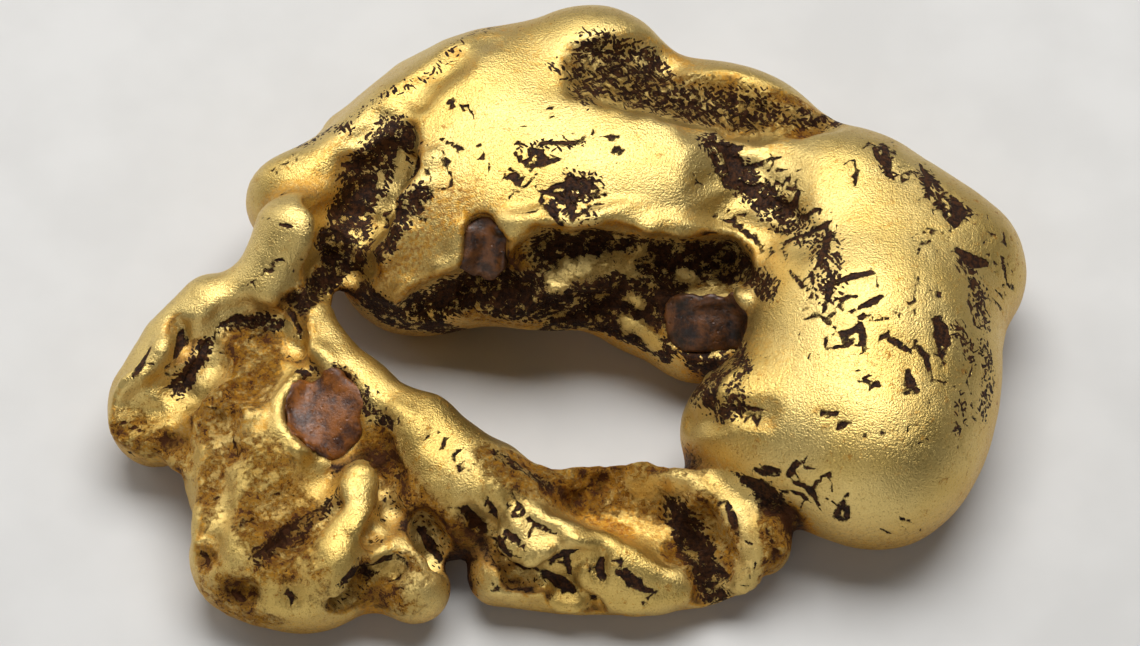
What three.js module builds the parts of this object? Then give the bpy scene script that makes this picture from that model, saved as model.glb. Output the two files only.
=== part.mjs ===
// A gold nugget in the shape of a bent ring: a thick arm worn smooth, and a thin arm left ragged,
// grown together at both ends. Three grains of stone are locked in pockets of the gold.
// Millimetres, +Z up. The nugget lies on its flat spots at Z = 0, and the origin is under its middle.
import * as THREE from "three";

// Driving dimensions.
const CELL = 0.6; // cube size of the grid that the surface is sampled on
const GOLD_TRIANGLES = 9000; // what the sampled surface is thinned down to
const STONE_CELL = 0.45;
const STONE_TRIANGLES = 240;
const THICK_BLEND = 3.0; // how softly the lumps of the thick arm run together
const THIN_BLEND = 1.6; // the same for the thin arm
const WELD_BLEND = 1.5; // the crease where the two arms have grown together
const MARK_BLEND = 0.7; // the softness of a ridge's foot or a groove's edge
const STONE_BLEND = 0.6; // how rounded a stone is
const STONE_GAP = 0.36; // between a stone and the wall of its pocket
const REST = 0.35; // how much the underside is worn flat
const LUMP_REACH = 1e3; // the distance to an arm that has no lumps yet
const MARK_REACH = 2; // how far past a mark's own width the form is changed by it
const SAMPLE_SHARE = 0.08; // the least part of a cube that a sample keeps from the surface
const LANDING = { steps: 90, stride: 0.8, miss: 0.01, tilt: 0.05 }; // following a sight line
// Limits of the thinning.
const THINNING = { spread: 1e-5, level: 1e-7, turn: 0.3, sliver: 0.08, flat: 0.01 };
const TINY = 1e-9;
const SPACE = { low: [-34, -28, -1.3], high: [34, 28, 19] }; // what the nugget fits in

// The lumps are placed by where they are seen: a column and a row of the view, and a height.
const VIEW = {
  elevation: THREE.MathUtils.degToRad(55), // looking down on the nugget from its front
  distance: 310,
  focal: 4755, // in columns of the view
  middle: [570, 323], // the column and row at the middle of the view
  target: new THREE.Vector3(0, 0, 6),
};
const toEye = new THREE.Vector3(0, -Math.cos(VIEW.elevation), Math.sin(VIEW.elevation));
const viewUp = new THREE.Vector3(0, Math.sin(VIEW.elevation), Math.cos(VIEW.elevation));
const eye = VIEW.target.clone().addScaledVector(toEye, VIEW.distance);

function sightLine(column, row) {
  return new THREE.Vector3((column - VIEW.middle[0]) / VIEW.focal, 0, 0)
    .addScaledVector(viewUp, (VIEW.middle[1] - row) / VIEW.focal)
    .sub(toEye)
    .normalize();
}

function seenAt(column, row, height) {
  const line = sightLine(column, row);
  return eye.clone().addScaledVector(line, (height - eye.z) / line.z);
}

// A rounded lump: its middle, its three half lengths, and its turn about Z.
function lump(name, [column, row, height], halves, turn = 0) {
  const angle = THREE.MathUtils.degToRad(turn);
  const centre = seenAt(column, row, height);
  return { name, centre, halves, cos: Math.cos(angle), sin: Math.sin(angle), distance: lumpDistance };
}

// A rounded rod through several points, each with its own radius.
function rope(name, points) {
  const knots = points.map(([column, row, height, radius]) => ({ at: seenAt(column, row, height), radius }));
  return { name, knots, distance: ropeDistance };
}

function lumpDistance({ centre, halves: [a, b, c], cos, sin }, x, y, z) {
  const dx = x - centre.x;
  const dy = y - centre.y;
  const u = (dx * cos + dy * sin) / a;
  const v = (dy * cos - dx * sin) / b;
  const w = (z - centre.z) / c;
  const level = Math.hypot(u, v, w);
  const slope = Math.hypot(u / a, v / b, w / c);
  return slope < TINY ? -Math.min(a, b, c) : (level * (level - 1)) / slope;
}

function rodDistance(start, end, x, y, z) {
  const [ax, ay, az] = [end.at.x - start.at.x, end.at.y - start.at.y, end.at.z - start.at.z];
  const [px, py, pz] = [x - start.at.x, y - start.at.y, z - start.at.z];
  const along = (px * ax + py * ay + pz * az) / (ax * ax + ay * ay + az * az + TINY);
  const t = Math.min(1, Math.max(0, along));
  return Math.hypot(px - ax * t, py - ay * t, pz - az * t) - (start.radius + (end.radius - start.radius) * t);
}

function ropeDistance({ knots }, x, y, z) {
  let nearest = rodDistance(knots[0], knots[knots.length > 1 ? 1 : 0], x, y, z);
  for (let i = 1; i + 1 < knots.length; i++) {
    nearest = Math.min(nearest, rodDistance(knots[i], knots[i + 1], x, y, z));
  }
  return nearest;
}

function smoothMin(a, b, blend) {
  const overlap = Math.max(blend - Math.abs(a - b), 0) / blend;
  return Math.min(a, b) - overlap * overlap * blend * 0.25;
}

// The lumps of both arms.
const thickArm = [
  lump("main dome", [545, 183, 7], [10.5, 11, 6.8]),
  lump("top knob", [592, 72, 9], [5.2, 4.2, 4.8]),
  lump("left slope", [440, 212, 6.5], [6.8, 7, 6], 20),
  lump("left shoulder", [297, 207, 6.5], [3.2, 2.4, 4]),
  rope("outer flank", [[318, 185, 5, 2.4], [365, 153, 5.5, 3.3], [430, 113, 6.5, 3.9], [490, 94, 8, 3.9]]),
  rope("crest", [[303, 200, 8, 2.3], [354, 168, 9, 2.7], [412, 130, 9.5, 3.3], [470, 112, 9.5, 4]]),
  lump("left foot", [412, 276, 4.6], [4.4, 3.4, 4.3]),
  lump("middle", [650, 198, 7], [8.5, 7.5, 6.6]),
  lump("back hump", [735, 134, 6], [6.5, 4.2, 5.2], -22),
  lump("upper right slope", [838, 228, 6.4], [8.2, 7, 6.4], -20),
  lump("right shoulder", [938, 272, 5.6], [5.8, 5.6, 5.6], 0),
  lump("right dome", [865, 335, 6.8], [8, 8.4, 6.6]),
  lump("right flank", [930, 375, 5], [4.2, 7.2, 5], 8),
  lump("front lobe", [845, 433, 6], [8, 6.6, 6]),
  lump("front tip", [886, 467, 5.4], [4.8, 4.8, 5.2]),
  lump("inner lobe", [744, 432, 5.2], [4.1, 3.6, 4.8]),
  lump("inner corner", [700, 335, 3.8], [3.4, 3, 3.6]),
  lump("inner tip", [645, 312, 3.6], [3, 2.2, 3]),
];
const thinArm = [
  rope("knob", [[297, 237, 10, 2.9], [282, 262, 9.2, 2.5], [270, 288, 8.2, 2.4]]),
  rope("knob crust", [[320, 245, 8.6, 2.3], [324, 272, 7.4, 1.9], [308, 302, 7, 1.6]]),
  rope("arch", [[268, 300, 7.6, 2], [215, 313, 7, 2.6], [175, 347, 6, 2.3], [148, 392, 5, 2.3]]),
  lump("left lobe", [155, 423, 3.8], [2.9, 2.6, 3.4]),
  lump("basin", [250, 392, 4.4], [5.4, 6.6, 4.2]),
  lump("arm middle", [270, 475, 4], [5.4, 6.4, 4.4]),
  lump("arm foot", [248, 558, 3.8], [3.7, 3.8, 3.8]),
  lump("arm foot right", [302, 590, 3.6], [4.2, 2.6, 3.2]),
  rope("S ridge", [[358, 490, 6.6, 1.7], [347, 525, 6.2, 2], [330, 562, 5.4, 2.2]]),
  rope("foot bar", [[335, 562, 5.2, 1.9], [378, 555, 4.8, 1.7], [410, 567, 4, 2.1], [414, 588, 3.3, 2.3]]),
  lump("foot joint", [370, 575, 3], [2.6, 2, 2.4]),
  rope("right rail", [[305, 315, 7.6, 1.5], [340, 367, 7.5, 1.6], [385, 404, 7.4, 1.6], [420, 422, 7, 1.9]]),
  rope("diagonal", [
    [432, 442, 6.4, 2.3], [490, 495, 5.8, 2.9], [560, 548, 4.8, 2.4], [640, 572, 3.6, 2.1], [700, 580, 3, 1.6],
  ]),
  lump("web", [440, 492, 3.9], [4.6, 4.6, 3.9]),
  lump("web left", [345, 425, 4.4], [4.4, 4.6, 4.2]),
  lump("trough floor", [610, 528, 2.2], [8.5, 4.2, 2.2]),
  rope("front edge", [
    [497, 578, 2.6, 1.8], [560, 586, 2.4, 1.8], [640, 586, 2.2, 1.8], [705, 572, 2.2, 1.6],
  ]),
  rope("back rim", [
    [505, 466, 5.3, 1.1], [530, 478, 5, 0.8], [560, 482, 5, 0.9], [600, 480, 5, 1], [645, 480, 5, 1.1],
    [688, 496, 5, 1.3],
  ]),
  rope("end rim", [
    [676, 502, 4.8, 1.4], [710, 508, 4.6, 1.5], [733, 522, 4.3, 1.5], [743, 547, 3.6, 1.4], [732, 570, 3, 1.4],
  ]),
  lump("end crust", [768, 545, 3.4], [1.5, 1.6, 2.3]),
  lump("neck", [728, 500, 2.6], [2.6, 2.4, 2.8]),
];

function armDistance(lumps, blend, x, y, z) {
  return lumps.reduce((d, piece) => smoothMin(d, piece.distance(piece, x, y, z), blend), LUMP_REACH);
}

function bareForm(x, y, z) {
  const thick = armDistance(thickArm, THICK_BLEND, x, y, z);
  const thin = armDistance(thinArm, THIN_BLEND, x, y, z);
  return smoothMin(thick, thin, WELD_BLEND);
}

// Marks lie on the bare form, where their columns and rows are seen. A third number makes a point thinner.
function landing(column, row) {
  const line = sightLine(column, row);
  const point = seenAt(column, row, SPACE.high[2]);
  for (let i = 0; i < LANDING.steps && point.z > 0; i++) {
    const d = bareForm(point.x, point.y, point.z);
    if (d < LANDING.miss) break;
    point.addScaledVector(line, d * LANDING.stride);
  }
  const { x, y, z } = point;
  const e = LANDING.tilt;
  const out = new THREE.Vector3(
    bareForm(x + e, y, z) - bareForm(x - e, y, z),
    bareForm(x, y + e, z) - bareForm(x, y - e, z),
    bareForm(x, y, z + e) - bareForm(x, y, z - e),
  ).normalize();
  return { point, out };
}

// How far around a mark the form is changed by it.
function withReach(piece) {
  const widest = Math.max(...piece.knots.map((knot) => knot.radius));
  const reach = new THREE.Box3().setFromPoints(piece.knots.map((knot) => knot.at));
  reach.expandByScalar(widest + MARK_REACH);
  return { ...piece, reach };
}

function mark(name, spots, radius, lift) {
  const knots = spots.map(([column, row, scale = 1]) => {
    const { point, out } = landing(column, row);
    return { at: point.addScaledVector(out, lift * scale), radius: radius * scale };
  });
  return withReach({ name, knots });
}
const ridge = (name, spots, radius, rise) => mark(name, spots, radius, rise - radius);
const groove = (name, spots, radius, depth) => mark(name, spots, radius, radius - depth);
// A pocket is a groove that holds a stone, sunk a little under the brim.
function pocket(stone, spots, radius, depth, sunk) {
  return { ...groove("pocket", spots, radius, depth), stone, sunk };
}

const ridges = [
  ridge("lip of the cavity", [[375, 283], [400, 291], [430, 284], [458, 262], [463, 240]], 1.3, 0.5),
  ridge("lip over the wall", [[505, 225], [535, 226], [525, 245], [512, 268]], 1.2, 0.7),
  ridge("ledge", [[545, 232], [600, 222], [650, 230], [690, 240], [730, 243], [742, 262]], 1.5, 0.8),
  ridge("wall bump", [[535, 280], [565, 290], [600, 283]], 1.2, 0.6),
  ridge("inner ledge", [[690, 292], [725, 290], [745, 300]], 1.2, 0.7),
  ridge("flute 1", [[432, 160], [418, 195], [400, 230], [385, 262]], 0.9, 0.4),
  ridge("flute 2", [[412, 160], [398, 190], [380, 225], [368, 262]], 0.8, 0.5),
  ridge("lobe ridge", [[172, 345], [150, 372], [128, 388]], 1.1, 0.4),
  ridge("lobe crust", [[118, 428], [140, 443], [170, 455], [190, 473]], 1.1, 0.4),
  ridge("basin sliver", [[216, 372], [224, 394], [232, 412]], 0.6, 0.45),
  ridge("basin edge", [[292, 390], [268, 402], [245, 415]], 0.9, 0.4),
  ridge("stone lip", [[296, 378], [281, 403], [283, 430], [297, 450], [324, 462]], 0.6, 0.5),
  ridge("pointed sliver", [[305, 335], [320, 354], [336, 382, 0.5]], 0.9, 0.6),
  ridge("column", [[205, 405], [208, 450], [204, 500], [202, 540]], 1.1, 0.4),
  ridge("S crest", [[352, 478], [368, 490], [366, 515], [345, 545], [330, 575]], 1.4, 0.4),
  ridge("web crest", [[402, 412], [412, 442], [440, 482]], 1.1, 0.35),
  ridge("jagged ledge", [[508, 548], [538, 562], [556, 552], [576, 547]], 1.0, 0.4),
  ridge("front lip", [[500, 578], [540, 585], [570, 600], [620, 608], [670, 600]], 1.1, 0.35),
  ridge("crust 1", [[770, 532], [776, 545]], 0.9, 0.5),
  ridge("crust 2", [[760, 562], [750, 578]], 0.9, 0.4),
];
const grooves = [
  groove("cavity", [[402, 138, 0.5], [385, 165], [365, 200], [345, 240], [345, 275]], 2.3, 2.9),
  groove("cavity mouth", [[355, 172], [330, 210]], 1.6, 1.6),
  groove("flank furrow", [[330, 168, 0.6], [362, 140], [400, 108], [440, 72], [480, 42, 0.6]], 2.2, 0.6),
  groove("valley", [[590, 75, 0.7], [640, 88], [690, 98], [750, 110], [815, 122, 0.6]], 3.2, 1.6),
  groove("valley head", [[580, 58, 0.6], [625, 58], [660, 60]], 1.8, 1),
  groove("saddle", [[705, 135, 0.6], [735, 170], [765, 205], [800, 240, 0.5]], 4.5, 0.9),
  groove("undercut", [[545, 262], [600, 258], [655, 265], [715, 268]], 2.2, 1.8),
  groove("undercut left", [[430, 305], [470, 290], [515, 290]], 1.8, 1.2),
  groove("wall hollow", [[640, 300], [610, 310], [560, 312]], 1.6, 1),
  groove("inner lobe crease", [[692, 418], [725, 415], [765, 412, 0.6]], 1.4, 0.5),
  groove("knob crust hollow", [[318, 255, 0.8], [318, 282]], 1.0, 0.8),
  groove("arch edge", [[205, 372], [208, 342], [222, 322], [245, 314], [275, 325], [298, 344]], 1.0, 0.9),
  groove("lobe hollow", [[207, 366], [182, 388], [155, 403], [136, 410]], 1.9, 1.3),
  groove("lobe pit", [[181, 328], [184, 346]], 0.8, 0.8),
  groove("arch pit", [[288, 303], [297, 326]], 0.6, 0.6),
  groove("basin floor", [[262, 350], [250, 378]], 2.6, 0.6),
  groove("vertical furrow", [[222, 424], [224, 462], [220, 507], [214, 547]], 1.3, 0.6),
  groove("S furrow", [[332, 507, 0.6], [305, 531], [278, 547, 0.7]], 1.1, 1.0),
  groove("S furrow upper", [[330, 478], [300, 495], [262, 518, 0.6]], 1.3, 0.5),
  groove("web crease", [[385, 472], [389, 508], [373, 532]], 0.9, 0.9),
  groove("bar notch", [[400, 568, 0.7], [368, 580], [347, 603]], 1.0, 1.3),
  groove("foot pit 1", [[205, 557]], 0.8, 0.6),
  groove("foot pit 2", [[234, 592], [246, 594]], 0.8, 0.7),
  groove("foot pit 3", [[292, 594]], 0.7, 0.6),
  groove("web pit", [[424, 527], [434, 542], [441, 560]], 1.1, 1.6),
  groove("slot 1", [[466, 510, 0.6], [480, 530], [492, 546], [508, 566, 0.7]], 0.9, 1.3),
  groove("slot 2", [[488, 498, 0.6], [497, 518]], 0.6, 0.6),
  groove("slot 3", [[514, 498, 0.7], [530, 521], [553, 540, 0.7]], 0.7, 0.7),
  groove("under the jagged ledge", [[515, 575], [545, 578], [561, 564], [576, 557]], 0.8, 0.9),
  groove("front pit", [[562, 575], [567, 592]], 1.1, 1.0),
  groove("front pit 2", [[601, 558], [600, 575]], 0.7, 0.6),
  groove("front pit 3", [[592, 603]], 0.8, 0.6),
  groove("trough", [[545, 497, 0.7], [595, 520], [650, 535], [690, 562, 0.8]], 2.6, 0.7),
  groove("end hollow", [[680, 507, 0.7], [700, 530], [715, 560], [716, 588]], 1.6, 1.2),
];
const pockets = [
  pocket("brown_stone", [[323, 404], [326, 420]], 2.3, 2.0, 0.3),
  pocket("dark_stone", [[484, 240], [483, 258]], 1.5, 1.9, 0.7),
  pocket("inner_stone", [[690, 326], [722, 326]], 1.9, 1.9, 0.5),
];

const inReach = (piece, x, y, z) =>
  x > piece.reach.min.x && x < piece.reach.max.x &&
  y > piece.reach.min.y && y < piece.reach.max.y &&
  z > piece.reach.min.z && z < piece.reach.max.z;

function ridgedForm(x, y, z) {
  let d = bareForm(x, y, z);
  for (const piece of ridges) {
    if (inReach(piece, x, y, z)) d = smoothMin(d, ropeDistance(piece, x, y, z), MARK_BLEND);
  }
  return d;
}

function goldDistance(x, y, z) {
  let d = ridgedForm(x, y, z);
  for (const piece of [...grooves, ...pockets]) {
    if (inReach(piece, x, y, z)) d = -smoothMin(-d, ropeDistance(piece, x, y, z), MARK_BLEND);
  }
  return Math.max(d, REST - z);
}

// A stone fills its pocket to a little under the brim, and stays clear of the gold around it.
function stoneDistance(pocket, x, y, z) {
  const inPocket = ropeDistance(pocket, x, y, z) + STONE_GAP;
  const underBrim = ridgedForm(x, y, z) + pocket.sunk;
  const clear = STONE_GAP - goldDistance(x, y, z);
  return -smoothMin(smoothMin(-inPocket, -underBrim, STONE_BLEND), -clear, STONE_BLEND);
}

// The six tetrahedra of a cube: from its first corner along three edges to the opposite one. A corner's
// three bits say whether it is at the near or the far side along X, Y and Z.
const WALKS = [[1, 2], [2, 4], [4, 1]].map(([a, b]) => [0, a, a | b, 7]);
const TETRAHEDRA = [...WALKS, ...[[1, 4], [2, 1], [4, 2]].map(([a, b]) => [0, a | b, a, 7])];
// The orders of four corners that keep a tetrahedron's handedness.
const TURNS = ["0123", "0231", "0312", "1032", "1203", "1320", "2013", "2130", "2301", "3021", "3102", "3210"]
  .map((digits) => [...digits].map(Number));
// The cut edges of a tetrahedron whose first one, two or three corners are inside.
const CUTS = [
  ([i, j, k, l]) => [[i, j], [i, k], [i, l]],
  ([i, j, k, l]) => [[i, k], [i, l], [j, l], [j, k]],
  ([i, j, k, l]) => [[i, l], [j, l], [k, l]],
];

// The surface where a distance is zero, from samples on a grid of cubes.
function sampleSurface(distance, low, high, cell) {
  const count = low.map((start, axis) => Math.ceil((high[axis] - start) / cell) + 1);
  const stride = [1, count[0], count[0] * count[1]];
  const step = [...Array(8).keys()].map((c) => (c & 1) + ((c >> 1) & 1) * stride[1] + (c >> 2) * stride[2]);
  const values = new Float32Array(count[0] * count[1] * count[2]);
  const nearest = cell * SAMPLE_SHARE; // a closer sample would leave specks of triangles
  const place = (index) => {
    const i = index % stride[1];
    const j = Math.floor(index / stride[1]) % count[1];
    const k = Math.floor(index / stride[2]);
    return new THREE.Vector3(low[0] + i * cell, low[1] + j * cell, low[2] + k * cell);
  };
  values.forEach((_, index) => {
    const { x, y, z } = place(index);
    const value = distance(x, y, z);
    values[index] = Math.abs(value) < nearest ? (value < 0 ? -nearest : nearest) : value;
  });

  const points = [];
  const pointOf = new Map();
  const cutAt = (cube, p, q) => {
    const [from, to] = p < q ? [p, q] : [q, p];
    const start = cube + step[from];
    const end = cube + step[to];
    const key = start * 8 + (to ^ from);
    if (!pointOf.has(key)) {
      pointOf.set(key, points.length);
      points.push(place(start).lerp(place(end), values[start] / (values[start] - values[end])));
    }
    return pointOf.get(key);
  };
  const faces = [];
  const cubeIsCut = (cube) => {
    const inside = values[cube] < 0;
    return step.some((offset) => values[cube + offset] < 0 !== inside);
  };
  for (let k = 0; k + 1 < count[2]; k++) {
    for (let j = 0; j + 1 < count[1]; j++) {
      for (let i = 0; i + 1 < count[0]; i++) {
        const cube = i + j * stride[1] + k * stride[2];
        if (!cubeIsCut(cube)) continue;
        for (const corners of TETRAHEDRA) {
          const inside = corners.map((corner) => values[cube + step[corner]] < 0);
          const within = inside.filter(Boolean).length;
          if (within === 0 || within === 4) continue;
          const turn = TURNS.find((order) => order.every((corner, at) => inside[corner] === at < within));
          const cuts = CUTS[within - 1](turn.map((corner) => corners[corner]));
          const ring = cuts.map(([p, q]) => cutAt(cube, p, q));
          faces.push([ring[0], ring[1], ring[2]]);
          if (ring.length === 4) faces.push([ring[0], ring[2], ring[3]]);
        }
      }
    }
  }
  return { points, faces };
}

// The sum of squared distances to a set of planes, kept as the ten numbers of a symmetric matrix.
class PlaneSum {
  constructor() {
    this.m = new Float64Array(10);
  }
  addPlane({ x, y, z }, offset, weight) {
    const plane = [x, y, z, offset];
    const terms = plane.flatMap((first, i) => plane.slice(i).map((second) => first * second));
    terms.forEach((term, i) => (this.m[i] += term * weight));
  }
  add(other) {
    other.m.forEach((term, i) => (this.m[i] += term));
    return this;
  }
  costAt({ x, y, z }) {
    const [xx, xy, xz, xd, yy, yz, yd, zz, zd, dd] = this.m;
    const squares = x * x * xx + y * y * yy + z * z * zz;
    const products = x * y * xy + x * z * xz + y * z * yz;
    return squares + 2 * (products + x * xd + y * yd + z * zd) + dd;
  }
  lowest() {
    const [xx, xy, xz, xd, yy, yz, yd, zz, zd] = this.m;
    const matrix = new THREE.Matrix3(xx, xy, xz, xy, yy, yz, xz, yz, zz);
    if (Math.abs(matrix.determinant()) < THINNING.level) return null;
    return new THREE.Vector3(-xd, -yd, -zd).applyMatrix3(matrix.invert());
  }
}

// Closes up the edges that matter least, cheapest first, until few enough triangles are left.
function thinned({ points, faces }, wanted) {
  const around = points.map(() => new Set());
  const sums = points.map(() => new PlaneSum());
  const stamp = new Int32Array(points.length);
  const corners = (f) => faces[f].map((v) => points[v]);
  const area = ([a, b, c]) => b.clone().sub(a).cross(c.clone().sub(a));
  faces.forEach((face, f) => {
    const normal = area(corners(f));
    const weight = normal.length();
    normal.divideScalar(weight || 1);
    for (const v of face) {
      around[v].add(f);
      sums[v].addPlane(normal, -normal.dot(points[v]), weight);
    }
  });
  const neighbours = (v) => new Set([...around[v]].flatMap((f) => faces[f]).filter((other) => other !== v));

  const heap = [];
  const swap = (i, j) => ([heap[i], heap[j]] = [heap[j], heap[i]]);
  const push = (item) => {
    let i = heap.push(item) - 1;
    for (let up = (i - 1) >> 1; i > 0 && heap[i].cost < heap[up].cost; i = up, up = (i - 1) >> 1) swap(i, up);
  };
  const pop = () => {
    swap(0, heap.length - 1);
    const item = heap.pop();
    for (let i = 0, low = 0; ; i = low) {
      for (const child of [2 * i + 1, 2 * i + 2]) {
        if (child < heap.length && heap[child].cost < heap[low].cost) low = child;
      }
      if (low === i) return item;
      swap(i, low);
    }
  };
  const consider = (v, w) => {
    const sum = new PlaneSum().add(sums[v]).add(sums[w]);
    const span = points[v].distanceTo(points[w]);
    const middle = points[v].clone().lerp(points[w], 0.5);
    const best = sum.lowest();
    const place = best && best.distanceTo(middle) < span ? best : middle;
    if (Math.max(points[v].z, points[w].z) < REST + THINNING.flat) place.z = REST;
    place.z = Math.max(place.z, REST);
    const cost = sum.costAt(place) + THINNING.spread * span * span;
    push({ v, w, place, cost, stamps: [stamp[v], stamp[w]] });
  };
  points.forEach((_, v) => neighbours(v).forEach((w) => v < w && consider(v, w)));

  // Moving a corner must not turn a face over or leave it a sliver.
  const spoils = (v, w, place) =>
    [...around[v]].some((f) => {
      if (faces[f].includes(w)) return false;
      const before = area(corners(f));
      const moved = faces[f].map((u) => (u === v ? place : points[u]));
      const after = area(moved);
      const longest = Math.max(...moved.map((p, i) => p.distanceToSquared(moved[(i + 1) % 3])));
      const turned = before.dot(after) < THINNING.turn * before.length() * after.length();
      return turned || after.length() < THINNING.sliver * longest;
    });

  let left = faces.length;
  while (left > wanted && heap.length) {
    const { v, w, place, stamps } = pop();
    if (stamps[0] !== stamp[v] || stamps[1] !== stamp[w]) continue;
    const nearW = neighbours(w);
    const shared = [...neighbours(v)].filter((u) => nearW.has(u));
    if (shared.length !== 2 || spoils(v, w, place) || spoils(w, v, place)) continue;
    for (const f of [...around[w]]) {
      if (faces[f].includes(v)) {
        faces[f].forEach((u) => around[u].delete(f));
        faces[f] = null;
        left--;
      } else {
        faces[f] = faces[f].map((u) => (u === w ? v : u));
        around[v].add(f);
      }
    }
    points[v] = place;
    sums[v].add(sums[w]);
    stamp[w] = -1;
    stamp[v]++;
    for (const u of neighbours(v)) {
      consider(v, u);
    }
  }
  return { points, faces: faces.filter(Boolean) };
}

function geometryOf({ points, faces }) {
  const used = new Map();
  const corners = faces.flat().map((v) => {
    if (!used.has(v)) used.set(v, used.size);
    return used.get(v);
  });
  const geometry = new THREE.BufferGeometry().setFromPoints([...used.keys()].map((v) => points[v]));
  geometry.setIndex(corners);
  geometry.computeVertexNormals();
  return geometry;
}

function solid(name, surface, material) {
  const mesh = new THREE.Mesh(geometryOf(surface), material);
  mesh.name = name;
  return mesh;
}

const gold = new THREE.MeshStandardMaterial({ color: 0xd4ae58, roughness: 0.32, metalness: 1 });
const stone = new THREE.MeshStandardMaterial({ color: 0x5a2f16, roughness: 0.7, metalness: 0 });

const nugget = new THREE.Group();
const goldSurface = sampleSurface(goldDistance, SPACE.low, SPACE.high, CELL);
nugget.add(solid("gold_nugget", thinned(goldSurface, GOLD_TRIANGLES), gold));
for (const pocket of pockets) {
  const { min, max } = pocket.reach;
  const distance = (x, y, z) => stoneDistance(pocket, x, y, z);
  const surface = sampleSurface(distance, min.toArray(), max.toArray(), STONE_CELL);
  nugget.add(solid(pocket.stone, thinned(surface, STONE_TRIANGLES), stone));
}

// The origin goes under the middle of the gold.
const box = new THREE.Box3().setFromObject(nugget.children[0]);
const middle = box.getCenter(new THREE.Vector3());
nugget.position.set(-middle.x, -middle.y, -box.min.z);

export default nugget;
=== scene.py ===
import math

import bmesh
import bpy
import numpy as np
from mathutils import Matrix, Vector


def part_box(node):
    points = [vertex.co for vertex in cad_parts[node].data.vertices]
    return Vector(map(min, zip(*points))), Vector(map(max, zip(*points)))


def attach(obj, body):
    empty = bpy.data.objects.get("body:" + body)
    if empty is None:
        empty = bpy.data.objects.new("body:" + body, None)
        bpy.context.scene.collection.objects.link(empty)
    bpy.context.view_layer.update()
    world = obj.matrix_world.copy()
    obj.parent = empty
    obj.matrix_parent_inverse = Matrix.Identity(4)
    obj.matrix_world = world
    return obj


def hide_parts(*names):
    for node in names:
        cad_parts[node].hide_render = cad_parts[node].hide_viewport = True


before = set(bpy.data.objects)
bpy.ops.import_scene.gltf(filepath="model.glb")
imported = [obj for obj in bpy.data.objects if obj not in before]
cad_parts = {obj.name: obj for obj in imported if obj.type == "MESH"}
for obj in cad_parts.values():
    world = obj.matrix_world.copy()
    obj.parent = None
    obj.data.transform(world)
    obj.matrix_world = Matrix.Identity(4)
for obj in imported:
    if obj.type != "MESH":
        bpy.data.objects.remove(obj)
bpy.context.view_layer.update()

MM = 0.001

# Shape, as in the CAD.
CELL = 0.34  # cube size of the grid that the surface is sampled on
STONE_CELL = 0.2
COARSE = 6  # cubes of the grid to a side of the blocks that are first tested for the surface
BLOCK_REACH = 1.3  # how far from its middle, in blocks, a block still counts as near the surface
THICK_BLEND = 3.0  # how softly the lumps of the thick arm run together
THIN_BLEND = 1.6  # the same for the thin arm
WELD_BLEND = 1.5  # the crease where the two arms have grown together
MARK_BLEND = 0.7  # the softness of a ridge's foot or a groove's edge
STONE_BLEND = 0.3  # how rounded a stone is
STONE_GAP = -0.25  # a stone reaches into the wall of its pocket, where the CAD leaves a gap
STONE_RISE = 0.15  # how much higher in its pocket a stone lies than in the CAD
RAGGED_EDGE = 0.3  # how uneven the outline of a stone is
WAVER = 0.17  # how uneven the edges of the marks are
WAVER_RATE = 1.25
FAR = 1e3
TINY = 1e-9
SIGHT_STEPS = 90  # how a sight line is followed to the form
LONGEST_STEP = 2.0
STRIDE = 0.8  # the part of the distance that a step goes
MISS = 0.01
ARM_REACH = 5  # how far past its own size a lump of an arm is felt
MARK_REACH = 2
REST = 0.35  # how much the underside is worn flat
REST_FADE = 0.6  # the height over which relief fades out towards the underside
SPACE_LOW = np.array([-34.0, -28.0, -1.3])
SPACE_HIGH = np.array([34.0, 28.0, 19.0])

# Relief of the gold.
SWELL_SIZE = 2.4
SWELL_RISE = 0.05
LUMP_SIZE = 0.9
LUMP_RISE = 0.16
SMALL_LUMP_SIZE = 0.45
SMALL_LUMP_RISE = 0.1
CRUST_SINK = 0.06
BARE_RISE = 0.15
FOLD_SIZE = 1.5
FOLD_WIDTH = 0.16
FOLD_DEPTH = 0.16
FINE_FOLD_SIZE = 0.75
FINE_FOLD_WIDTH = 0.2
FINE_FOLD_DEPTH = 0.1
FLATTENED = [1.0, 1.0, 1.6]  # makes the fine folds wider than they are high
STROKE_WIDTH = 0.12
STROKE_DEPTH = 0.06
BARE_OF_FOLDS = 0.85  # how much of the folds is missing where the gold is bare
BARE_OF_CRUST = 0.8
HOLLOW_REACH = 0.8
WIDE_HOLLOW_REACH = 3.0
LUMP_SHOWS = 2.2  # how strongly the film leaves the tops of lumps
STROKE_SHARE = 0.54  # the part of a stroke's width that counts as its half width
STROKE_TAPER = 0.5  # how wide a stroke is at its ends
STROKE_REACH = 1
PATCH_REACH = 2
BUSY = 0.3  # from where a patch, and up to what distance a stroke, gets a finer mesh
SPLINTER_SEED = 7
SPLINTER_SPREAD = 5  # in pixels of the photograph, like the lengths and widths
SPLINTER_LENGTHS = (5, 16)
SPLINTER_WIDTHS = (1.5, 3)

# The photograph's view: looking down on the nugget from its front.
ELEVATION = math.radians(55)
EYE_DISTANCE = 310.0
FOCAL = 4755.0  # in pixels
MIDDLE_COLUMN = 570
MIDDLE_ROW = 323
PICTURE_WIDTH = 1140
TARGET = np.array([0.0, 0.0, 6.0])
TO_EYE = np.array([0.0, -math.cos(ELEVATION), math.sin(ELEVATION)])
VIEW_UP = np.array([0.0, math.sin(ELEVATION), math.cos(ELEVATION)])
EYE = TARGET + TO_EYE * EYE_DISTANCE


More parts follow.
